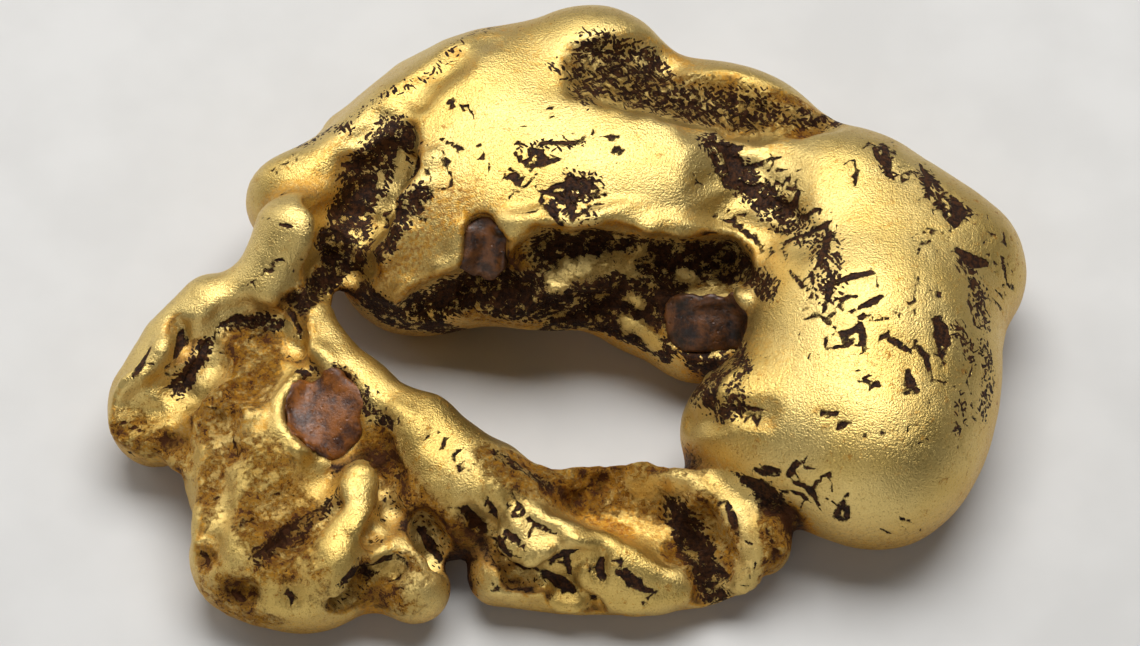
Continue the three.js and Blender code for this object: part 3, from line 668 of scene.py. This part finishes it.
# Where dark inclusions crowd together, and where shade is painted: on the underside of the thick arm
# towards the hole, and a painted shadow over the brown stone. A name, a radius in pixels, how dense, and
# the columns and rows.
STAINS_AND_SHADE = [
    ["saddle", 18, 0.78, (714, 143), (733, 168), (760, 196), (785, 218)],
    ["saddle end", 18, 0.62, (800, 225), (826, 245), (830, 290)],
    ["dome spots", 15, 0.72, (575, 182), (588, 186), (560, 205)],
    ["dome marks", 10, 0.5, (520, 155), (540, 145), (575, 142)],
    ["shoulder patch", 9, 0.7, (880, 148), (890, 172)],
    ["shoulder patches", 14, 0.7, (925, 175), (945, 205), (965, 212)],
    ["slope marks", 15, 0.72, (418, 192), (395, 225), (382, 250)],
    ["cavity", 24, 1.0, (393, 138), (376, 162), (358, 188), (346, 216), (350, 250)],
    ["crackle", 9, 0.62, (291, 149), (307, 144), (326, 131), (348, 127)],
    ["flank striae", 9, 0.42, (356, 114), (387, 92), (430, 75), (473, 34), (495, 27)],
    ["valley head", 24, 0.74, (595, 52), (625, 62), (650, 70)],
    ["valley", 26, 0.7, (590, 84), (640, 95), (700, 108), (750, 112)],
    ["valley end", 14, 0.62, (760, 114), (800, 118), (835, 122)],
    ["valley mouth", 10, 0.6, (556, 66), (570, 80), (592, 106)],
    ["upper wall", 22, 1.0, (548, 250), (600, 246), (650, 256), (700, 262), (735, 262)],
    # These three are partly dark crust and partly painted shade, on the underside of the thick arm towards
    # the hole.
    ["lower wall", 24, 1.0, (500, 300), (560, 300), (620, 300), (665, 305)],
    ["left underside", 20, 1.0, (370, 300), (430, 305), (480, 285), (530, 290)],
    ["hole edge", 15, 1.0, (385, 316), (440, 328), (500, 328), (560, 326), (620, 332), (662, 352)],
    ["recess", 20, 1.0, (690, 330), (720, 330)],
    ["inner wall", 24, 0.85, (705, 350), (705, 380), (725, 400)],
    ["inner wall edge", 12, 0.8, (742, 335), (742, 370)],
    ["wall", 20, 0.8, (560, 268), (620, 280), (680, 290)],
    ["over the wall", 12, 0.5, (560, 210), (590, 215)],
    ["right of the ledge", 14, 0.8, (735, 250), (750, 275), (770, 290)],
    ["right flank top", 14, 0.66, (966, 268), (980, 290), (984, 320)],
    ["right flank", 12, 0.6, (960, 330), (968, 356)],
    ["right flank foot", 13, 0.62, (985, 350), (990, 380), (984, 410)],
    ["right flank edge", 9, 0.55, (962, 400), (958, 430)],
    ["weld", 14, 0.9, (740, 485), (775, 500)],
    ["knob side", 13, 0.95, (330, 240), (339, 264), (322, 284), (302, 302)],
    ["end hollow", 17, 0.85, (674, 508), (690, 535), (704, 562), (716, 590)],
    ["arch edge", 8, 0.8, (222, 324), (250, 320), (278, 324)],
    ["left hollow", 10, 0.75, (206, 346), (192, 370), (180, 388)],
    ["S furrow", 12, 0.5, (258, 556), (300, 528), (335, 495)],
    ["notch", 11, 0.8, (342, 582), (368, 567), (400, 563)],
    # Painted shadow over the brown stone.
    ["over the stone", 8, 0.9, (300, 372), (325, 368), (352, 382)],
    ["right of the stone", 13, 0.85, (364, 398), (380, 412), (393, 418)],
    ["back rim", 10, 0.7, (500, 455), (525, 470), (548, 484)],
]
# Where the gold shows through the stain.
BARE = [
    ["diagonal", 30, 1.0, (425, 440), (470, 494), (520, 530), (590, 564), (660, 590)],
    ["front lip", 10, 0.9, (560, 602), (620, 606), (650, 600)],
    ["end rim", 15, 1.0, (640, 488), (690, 481), (727, 487), (750, 520), (752, 555), (740, 586)],
    ["knob", 22, 1.0, (292, 222), (285, 250), (262, 285)],
    ["arch", 14, 1.0, (250, 300), (215, 312), (190, 325)],
    ["lobe ridge", 10, 1.0, (172, 345), (150, 370), (130, 385)],
    ["sliver", 8, 1.0, (308, 338), (322, 360), (335, 380)],
    ["right rail", 8, 0.8, (350, 385), (385, 405), (415, 418)],
    ["S ridge", 15, 1.0, (360, 480), (350, 515), (335, 550), (345, 565)],
    ["foot bar", 14, 0.8, (380, 560), (400, 575), (420, 590)],
    ["column", 14, 0.8, (240, 470), (225, 520), (235, 560)],
    ["stone lip", 7, 1.0, (296, 378), (281, 403), (283, 430), (297, 450), (324, 462)],
    ["foot", 18, 0.8, (270, 600), (310, 600), (330, 590)],
    ["web patch", 12, 0.7, (405, 425), (430, 450)],
    ["wall bump", 12, 1.0, (555, 282), (570, 272), (584, 268)],
    ["wall crust", 10, 0.85, (590, 268), (612, 260), (634, 270)],
    ["wall crust right", 8, 0.85, (625, 262), (641, 252)],
    ["wall spot", 8, 1.0, (626, 322), (648, 334), (654, 346)],
    ["small wall spot", 6, 1.0, (633, 297), (640, 304)],
    ["inner ledge", 10, 1.0, (692, 297), (714, 289), (742, 300)],
    ["ledge tip", 7, 1.0, (681, 273), (692, 280)],
    ["cavity streak", 4, 0.9, (402, 150), (398, 175)],
    ["cavity streak left", 4, 0.8, (385, 160), (380, 185)],
    ["flank of the slope", 6, 0.9, (396, 196), (384, 216), (378, 226)],
    ["inner wall streak", 5, 0.8, (716, 352), (706, 380)],
    ["inner wall streak right", 5, 0.8, (735, 372), (720, 395)],
]
RUST = [
    ["orange slope", 26, 0.8, (460, 200), (430, 222), (408, 250), (396, 270)],
    ["wall crust", 40, 0.5, (560, 280), (620, 270), (680, 280)],
    ["basin", 26, 0.7, (245, 345), (250, 380), (240, 400)],
    ["web", 26, 0.6, (385, 450), (430, 470), (460, 500)],
    ["trough", 34, 0.6, (520, 470), (600, 500), (660, 520), (700, 560)],
]
CRUST = [
    ["wall", 30, 1.0, (540, 262), (600, 260), (660, 275), (715, 275)],
    ["lower wall", 26, 0.8, (480, 300), (560, 310), (640, 315)],
    ["valley", 28, 0.5, (590, 75), (640, 90), (720, 108), (800, 118)],
    ["knob side", 12, 1.0, (330, 240), (338, 262), (318, 282), (302, 300)],
    ["basin", 30, 0.6, (250, 345), (245, 390), (215, 420)],
    ["lobe", 22, 0.5, (130, 430), (180, 460)],
    ["arm", 50, 0.5, (240, 480), (280, 540), (240, 590)],
    ["foot", 30, 0.6, (330, 590), (400, 585)],
    ["web", 40, 0.5, (400, 450), (460, 510)],
    ["trough", 30, 0.8, (500, 465), (560, 480), (640, 480), (690, 500)],
    ["end", 34, 0.9, (700, 560), (750, 560), (770, 540)],
]


PIXEL = EYE_DISTANCE / FOCAL  # the millimetres that a pixel covers at the nugget


def spots_of(entry):
    return [spot for spot in entry if isinstance(spot, tuple)]


def path_distance(entries, widths, p, reach, taper=1.0):
    """How far points are from each path, less its half width. Both are in millimetres."""
    spots = [spot for entry in entries for spot in spots_of(entry)]
    ends = iter(landings(spots, gold_distance)[0])
    result = []
    for entry, width in zip(entries, widths):
        last = len(spots_of(entry)) - 1
        path = {"knots": [(next(ends), width * (taper if n in (0, last) else 1)) for n in range(last + 1)]}
        give_reach([path], reach)
        near = within(path, p)
        result.append((near, rope_distance(path, p[near])))
    return result


def patches(table, p):
    """How much each point is inside the patches of a table, from 0 to 1."""
    total = np.zeros(len(p))
    radii = [entry[1] * PIXEL for entry in table]
    for entry, radius, (near, d) in zip(table, radii, path_distance(table, radii, p, PATCH_REACH)):
        soft = np.clip(0.5 - d / radius, 0, 1)
        total[near] = np.maximum(total[near], entry[2] * soft * soft * (3 - 2 * soft))
    return total


def splinters(entries):
    """Short thin strokes scattered about the wide ones."""
    random = np.random.default_rng(SPLINTER_SEED)
    made = []
    for entry in entries:
        spots = np.array(spots_of(entry), float)
        for _ in range(min(entry[0], 8) // 2):
            start = spots[random.integers(len(spots))] + random.normal(0, SPLINTER_SPREAD, 2)
            angle = random.uniform(0, math.pi)
            way = np.array([math.cos(angle), math.sin(angle)]) * random.uniform(*SPLINTER_LENGTHS)
            made.append([random.uniform(*SPLINTER_WIDTHS), tuple(start), tuple(start + way)])
    return made


def strokes(p):
    """The distance to the nearest stroke in millimetres, at most 1."""
    entries = [entry for group in STROKES.values() for entry in group]
    entries += splinters(entries)
    widths = [entry[0] * PIXEL * STROKE_SHARE for entry in entries]
    nearest = np.ones(len(p))
    for near, d in path_distance(entries, widths, p, STROKE_REACH, STROKE_TAPER):
        nearest[near] = np.minimum(nearest[near], d)
    return nearest


def own_middle(points):
    return (points.min(axis=0) + points.max(axis=0)) / 2


def finer(points, faces, busy):
    """Halves the edges of a mesh where it is busy."""
    bm = bmesh.new()
    corners = [bm.verts.new(point) for point in points]
    for face in faces:
        bm.faces.new([corners[i] for i in face])
    edges = [edge for edge in bm.edges if busy[edge.verts[0].index] and busy[edge.verts[1].index]]
    bmesh.ops.subdivide_edges(bm, edges=edges, cuts=1, use_grid_fill=True)
    bmesh.ops.triangulate(bm, faces=[face for face in bm.faces if len(face.verts) > 4])
    bm.verts.index_update()
    points = np.array([vert.co for vert in bm.verts])
    faces = [[vert.index for vert in face.verts] for face in bm.faces]
    bm.free()
    return points, faces


gold_points, gold_faces = surface(gold_distance, SPACE_LOW, SPACE_HIGH, CELL)
gold_points = drawn_in(gold_points, gold_distance, 2)
busy = (patches(STAINS_AND_SHADE + CRUST, gold_points) > BUSY) | (strokes(gold_points) < BUSY)
gold_points, gold_faces = finer(gold_points, gold_faces, busy)
gold_points = drawn_in(gold_points, gold_distance, 1)
outward = slopes(gold_distance, gold_points)

low, high = (np.array(corner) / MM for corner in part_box("gold_nugget"))
shift = (low + high) / 2 - own_middle(gold_points)
shift[2] = low[2] - gold_points[:, 2].min()

stroke = strokes(gold_points)
# Dark inclusions, and painted shade under the thick arm and a painted shadow over the brown stone.
stain_and_shade = patches(STAINS_AND_SHADE, gold_points)
rust = patches(RUST, gold_points)
crust = patches(CRUST, gold_points)
bare = patches(BARE, gold_points)
crumple = crust * (1 - BARE_OF_FOLDS * bare)
crust *= 1 - BARE_OF_CRUST * bare


def hollowness(reach):
    """How far a point is in a hollow of a given size: 0 on a flat place, 1 deep in a hole."""
    return 1 - gold_distance(gold_points + outward * reach) / reach


def lines_of(values, width):
    """1 where values are 0, falling to 0 where they reach a width."""
    return np.clip(1 - np.abs(values) / width, 0, 1)


hollow = hollowness(HOLLOW_REACH)
wide_hollow = hollowness(WIDE_HOLLOW_REACH)
# How much a point faces down: painted shade, which browns the underside in the shader.
under = np.clip(0.5 - outward[:, 2] * 1.5, 0, 1)

small_lumps = SMALL_LUMP_RISE * clouds(gold_points, SMALL_LUMP_SIZE, 31, 2)
lumps = crust * (LUMP_RISE * clouds(gold_points, LUMP_SIZE, 21) + small_lumps - CRUST_SINK)
fold = lines_of(clouds(gold_points, FOLD_SIZE, 41), FOLD_WIDTH)
fine_fold = lines_of(clouds(gold_points * FLATTENED, FINE_FOLD_SIZE, 51, 2), FINE_FOLD_WIDTH)
relief = SWELL_RISE * clouds(gold_points, SWELL_SIZE, 11, 2) + lumps + BARE_RISE * bare
relief -= crumple * (FOLD_DEPTH * fold + FINE_FOLD_DEPTH * fine_fold)
relief -= STROKE_DEPTH * lines_of(np.maximum(stroke, 0), STROKE_WIDTH)
relief *= np.clip((gold_points[:, 2] - REST) / REST_FADE, 0, 1)
gold_points = gold_points + outward * relief[:, None]

nugget = mesh_object("nugget_gold", gold_points + shift, gold_faces)
for name, values in {
    "stroke": stroke, "stain_and_shade": stain_and_shade, "under": under, "crumple": crumple, "rust": rust, "crust": crust,
    "bare": bare, "hollow": hollow - lumps * LUMP_SHOWS, "wide_hollow": wide_hollow,
}.items():
    put(nugget, name, values)
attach(nugget, "root")
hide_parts("gold_nugget")

for piece in POCKETS:
    low_end, high_end = piece["reach"]
    points, faces = surface(lambda p: stone_distance(piece, p), low_end, high_end, STONE_CELL)
    points = drawn_in(points, lambda p: stone_distance(piece, p))
    grain = mesh_object("grain_" + piece["stone"], points + shift, faces)
    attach(grain, "root")
    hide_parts(piece["stone"])


class Shader:
    """A material whose nodes are made and joined by short calls."""

    def __init__(self, name):
        self.material = bpy.data.materials.new(name)
        self.material.use_nodes = True
        self.tree = self.material.node_tree
        self.surface = self.tree.nodes["Principled BSDF"]
        self.place = self.tree.nodes.new("ShaderNodeTexCoord").outputs["Object"]

    def node(self, kind, out=0, settings=None, **inputs):
        made = self.tree.nodes.new(kind)
        for key, value in (settings or {}).items():
            setattr(made, key, value)
        for key, value in inputs.items():
            self.feed(made.inputs[int(key[1:]) if key[1:].isdigit() else key.replace("_", " ")], value)
        return made.outputs[out]

    def feed(self, socket, value):
        if isinstance(value, bpy.types.NodeSocket):
            self.tree.links.new(value, socket)
        else:
            socket.default_value = value

    def math(self, operation, *values, clamp=False):
        inputs = {f"i{n}": value for n, value in enumerate(values)}
        return self.node("ShaderNodeMath", settings={"operation": operation, "use_clamp": clamp}, **inputs)

    def add(self, first, second, clamp=False):
        return self.math("ADD", first, second, clamp=clamp)

    def less(self, first, second, clamp=False):
        return self.math("SUBTRACT", first, second, clamp=clamp)

    def times(self, first, second):
        return self.math("MULTIPLY", first, second)

    def most(self, first, second):
        return self.math("MAXIMUM", first, second)

    def scaled(self, value, factor, offset):
        return self.math("MULTIPLY_ADD", value, factor, offset)

    def steps(self, value, start, end, low=0.0, high=1.0):
        """A smooth change from low to high as a value goes from start to end."""
        settings = {"interpolation_type": "SMOOTHSTEP"}
        ends = {"i1": start, "i2": end, "i3": low, "i4": high}
        return self.node("ShaderNodeMapRange", settings=settings, i0=value, **ends)

    def mix(self, amount, first, second):
        settings = {"data_type": "RGBA"}
        return self.node("ShaderNodeMix", 2, settings, i0=amount, i6=first, i7=second)

    def attribute(self, name):
        return self.node("ShaderNodeAttribute", 2, {"attribute_name": name})

    def moved(self, turn, scale, place):
        settings = {"vector_type": "TEXTURE"}
        return self.node("ShaderNodeMapping", settings=settings, i0=place, i2=turn, i3=scale)

    def noise(self, size, detail=2.0, place=None, roughness=0.5, distortion=0.0):
        return self.node(
            "ShaderNodeTexNoise", Vector=place or self.place, Scale=1 / (size * MM), Detail=detail,
            Roughness=roughness, Distortion=distortion,
        )

    def cells(self, size, place=None, feature="F1"):
        return self.node("ShaderNodeTexVoronoi", settings={"feature": feature}, Vector=place or self.place,
                         Scale=1 / (size * MM))

    def bump(self, height, distance, strength=1.0, normal=None):
        inputs = {"Strength": strength, "Distance": distance * MM, "Height": height}
        if normal:
            inputs["Normal"] = normal
        return self.node("ShaderNodeBump", **inputs)

    def finish(self, **inputs):
        for key, value in inputs.items():
            self.feed(self.surface.inputs[key.replace("_", " ")], value)
        return self.material


def colour(red, green, blue):
    return (red, green, blue, 1.0)


# Colours, and the sizes of the noise in millimetres.
PALE_GOLD = colour(0.74, 0.55, 0.2)
DEEP_GOLD = colour(0.66, 0.46, 0.135)
SPECKLE_BROWN = colour(0.3, 0.15, 0.03)
FILM_ORANGE = colour(0.62, 0.31, 0.035)
FILM_BROWN = colour(0.27, 0.088, 0.009)
NEEDLE_BLACK = colour(0.014, 0.0045, 0.0015)
NEEDLE_BROWN = colour(0.065, 0.022, 0.005)
TORN_BROWN = colour(0.085, 0.026, 0.005)
SPARKLE = 0.12
SPECKLE = 0.14
GRAIN = 0.3
RAGGED = 0.34
FLAKE = 0.55
SPATTER = 0.6
PATCHY = 0.8
BROAD = 6
NEEDLES = ((1.5, 0.3, 0.6), (1.2, 0.26, -0.7), (1.8, 0.34, 2.0))  # their lengths, widths and turns
NEEDLE_TILT = 0.3
BEND = 0.6  # how far the needles are bent aside
BEND_SIZE = 1.5
GOLD_BUMP = 0.09


def needle_marks(s, density, ragged):
    """Dark needles in three directions, which crowd together as the stain gets denser."""
    bend = s.node("ShaderNodeTexNoise", 1, Vector=s.place, Scale=1 / (BEND_SIZE * MM), Detail=2.0)
    bends = {"i0": bend, "i1": (BEND * MM,) * 3, "i2": s.place}
    bent = s.node("ShaderNodeVectorMath", settings={"operation": "MULTIPLY_ADD"}, **bends)
    nearest = None
    for length, width, turn in NEEDLES:
        slim = width / length
        cell = s.cells(length, s.moved((0, NEEDLE_TILT, turn), (1, slim, slim), bent))
        nearest = s.math("MINIMUM", nearest, cell) if nearest else cell
    edge = s.less(s.scaled(ragged, 0.24, nearest), s.scaled(density, 0.62, 0.14))
    return s.times(s.steps(edge, 0.03, -0.03), s.steps(density, 0.08, 0.2))


def gold_material():
    s = Shader("gold")
    stroke = s.attribute("stroke")
    stain_and_shade = s.attribute("stain_and_shade")
    crust = s.attribute("crust")
    hollow = s.attribute("hollow")
    wide = s.attribute("wide_hollow")
    sparkle = s.noise(SPARKLE, 2)
    grain = s.noise(GRAIN, 4, roughness=0.65)
    ragged = s.noise(RAGGED, 6, roughness=0.78)
    patchy = s.noise(PATCHY, 5, roughness=0.75)
    broad = s.noise(BROAD, 3)
    flake = s.scaled(hollow, 0.25, s.noise(FLAKE, 6, roughness=0.75, distortion=0.3))

    # Dark stain and painted shade: needles and hollows, with bare gold and flecks in them, and strokes and
    # flakes on top. The needles also paint the shade under the thick arm and the shadow over the brown
    # stone.
    hollow_edge = s.add(hollow, s.scaled(ragged, -1.0, 0.5))
    density = s.add(stain_and_shade, s.steps(wide, 0.35, 0.85, 0, 0.3))
    dark = s.most(needle_marks(s, density, ragged), s.steps(hollow_edge, 0.34, 0.62))
    bare_edge = s.add(s.attribute("bare"), s.scaled(ragged, 1.2, -0.6))
    bare_edge = s.add(bare_edge, s.times(stain_and_shade, s.scaled(patchy, 4.5, -2.25)))
    bare = s.steps(bare_edge, 0.3, 0.5)
    fleck = s.times(s.steps(patchy, 0.555, 0.585), s.math("MINIMUM", crust, 0.9))
    dark = s.less(dark, s.add(bare, fleck), clamp=True)
    stroke_dark = s.steps(s.add(stroke, s.scaled(ragged, 0.36, -0.2)), 0.03, -0.02)
    torn = s.steps(s.add(s.attribute("crumple"), s.scaled(ragged, 0.8, -0.4)), 0.1, 0.4)
    flake_dark = s.times(torn, s.steps(flake, 0.62, 0.65))
    dark = s.most(dark, s.most(stroke_dark, flake_dark))

    # Brown film and painted shade: rust, hollows, crust, torn gold and a fine spatter, and painted shade on
    # the underside where it faces down.
    film_and_shade = s.times(s.attribute("rust"), s.steps(grain, 0.35, 0.62))
    film_and_shade = s.add(film_and_shade, s.steps(hollow_edge, 0.08, 0.4, 0, 0.8))
    # Painted shade: the underside is browned where it faces down.
    film_and_shade = s.add(film_and_shade, s.times(s.attribute("under"), s.steps(grain, 0.3, 0.7, 0.35, 0.75)))
    film_and_shade = s.add(film_and_shade, s.times(crust, s.steps(ragged, 0.5, 0.42, 0, 0.9)), clamp=True)
    film_and_shade = s.times(film_and_shade, s.scaled(bare, -0.85, 1.0))
    film_and_shade = s.most(film_and_shade, s.times(torn, s.steps(flake, 0.49, 0.57, 0.15, 0.9)))
    spatter = s.steps(s.noise(SPATTER, 6, roughness=0.8), 0.575, 0.61)
    film_and_shade = s.most(film_and_shade, s.times(spatter, s.steps(broad, 0.42, 0.62, 0.25, 0.8)))
    film_and_shade = s.times(film_and_shade, s.steps(stain_and_shade, 0.3, 0.8, 1.0, 0.35))

    gold = s.mix(s.steps(broad, 0.35, 0.65), PALE_GOLD, DEEP_GOLD)
    gold = s.mix(s.steps(s.noise(SPECKLE, 3, roughness=0.7), 0.57, 0.66, 0, 0.6), gold, SPECKLE_BROWN)
    filmed_and_shaded = s.mix(film_and_shade, gold, s.mix(s.steps(ragged, 0.4, 0.6), FILM_ORANGE, FILM_BROWN))
    brown = s.mix(s.steps(grain, 0.4, 0.65), NEEDLE_BLACK, NEEDLE_BROWN)
    brown = s.mix(s.times(torn, s.steps(stain_and_shade, 0.2, 0.7, 0.8, 0.1)), brown, TORN_BROWN)

    height = s.add(s.times(grain, 0.35), s.times(sparkle, 0.6))
    height = s.add(height, s.times(ragged, s.scaled(crust, 2.6, 0.312)))
    height = s.less(height, s.add(s.steps(stroke, 0.05, -0.05, 0, 0.7), s.times(stroke_dark, 0.8)))
    height = s.less(height, s.times(torn, s.steps(flake, 0.46, 0.64, 0, 1.6)))
    return s.finish(
        Base_Color=s.mix(dark, filmed_and_shaded, brown),
        Metallic=s.less(1.0, s.add(dark, s.times(film_and_shade, 0.35)), clamp=True),
        Roughness=s.add(s.steps(sparkle, 0.3, 0.7, 0.3, 0.48), s.times(s.most(dark, film_and_shade), 0.2)),
        Normal=s.bump(height, GOLD_BUMP),
        Specular_IOR_Level=0.15,
    )


STONE_GRAIN = 1.1
STONE_PITS = 0.5
STONE_BUMP = 0.12
BROWN_STONE = (colour(0.045, 0.012, 0.002), colour(0.27, 0.085, 0.01), 0.42)  # two colours and a roughness
DARK_STONE = (colour(0.012, 0.004, 0.001), colour(0.15, 0.05, 0.009), 0.45)


def stone_material(name, dark, light, rough):
    s = Shader(name)
    grain = s.noise(STONE_GRAIN, 6, roughness=0.7)
    base = s.mix(s.steps(grain, 0.35, 0.68), dark, light)
    roughness = s.steps(s.noise(0.2, 3), 0.3, 0.7, rough - 0.15, rough + 0.15)
    height = s.add(grain, s.steps(s.cells(STONE_PITS), 0.05, 0.25, 0, 0.3))
    return s.finish(Base_Color=base, Roughness=roughness, Normal=s.bump(height, STONE_BUMP))


nugget.data.materials.append(gold_material())
brown_stone = stone_material("brown_stone", *BROWN_STONE)
dark_stone = stone_material("dark_stone", *DARK_STONE)
for piece in POCKETS:
    grain = bpy.data.objects["grain_" + piece["stone"]]
    grain.data.materials.append(brown_stone if piece["stone"] == "brown_stone" else dark_stone)


FLOOR_SIZE = 1.2  # in metres, like the lights' places and sizes
FLOOR_TONES = (colour(0.6, 0.59, 0.57), colour(0.64, 0.63, 0.61))
LIGHTS = (  # a name, a place, a size and a power
    ("overhead", (0.02, 0.16, 0.42), (0.42, 0.3), 2.5),
    ("back_left", (-0.4, 0.3, 0.22), (0.3, 0.3), 0.6),
    ("front", (-0.12, -0.4, 0.16), (0.4, 0.2), 0.4),
)
SENSOR = 36
STUDIO_TINT = colour(0.8, 0.82, 0.85)
STUDIO_STRENGTH = 0.08


def add_floor():
    bpy.ops.mesh.primitive_plane_add(size=FLOOR_SIZE)
    floor = bpy.context.object
    floor.name = "floor"
    s = Shader("floor")
    tone = s.mix(s.steps(s.noise(8, 3), 0.3, 0.7), *FLOOR_TONES)
    floor.data.materials.append(s.finish(Base_Color=tone, Roughness=0.8))


def aim(obj, point):
    direction = Vector(point) - obj.location
    obj.rotation_euler = direction.to_track_quat("-Z", "Y").to_euler()


def add_light(name, place, size, power):
    lamp = bpy.data.lights.new(name, "AREA")
    lamp.shape = "RECTANGLE"
    lamp.size, lamp.size_y = size
    lamp.energy = power
    obj = bpy.data.objects.new(name, lamp)
    bpy.context.scene.collection.objects.link(obj)
    obj.location = place
    aim(obj, TARGET * MM)


def add_camera():
    data = bpy.data.cameras.new("camera")
    data.sensor_width = SENSOR
    data.lens = FOCAL * data.sensor_width / PICTURE_WIDTH
    data.clip_start = 0.01
    obj = bpy.data.objects.new("camera", data)
    bpy.context.scene.collection.objects.link(obj)
    obj.location = (EYE + shift) * MM
    aim(obj, (TARGET + shift) * MM)
    bpy.context.scene.camera = obj


add_floor()
for light in LIGHTS:
    add_light(*light)
add_camera()

world = bpy.data.worlds.new("studio")
world.use_nodes = True
world.node_tree.nodes["Background"].inputs["Color"].default_value = STUDIO_TINT
world.node_tree.nodes["Background"].inputs["Strength"].default_value = STUDIO_STRENGTH
bpy.context.scene.world = world
bpy.context.scene.view_settings.view_transform = "Standard"
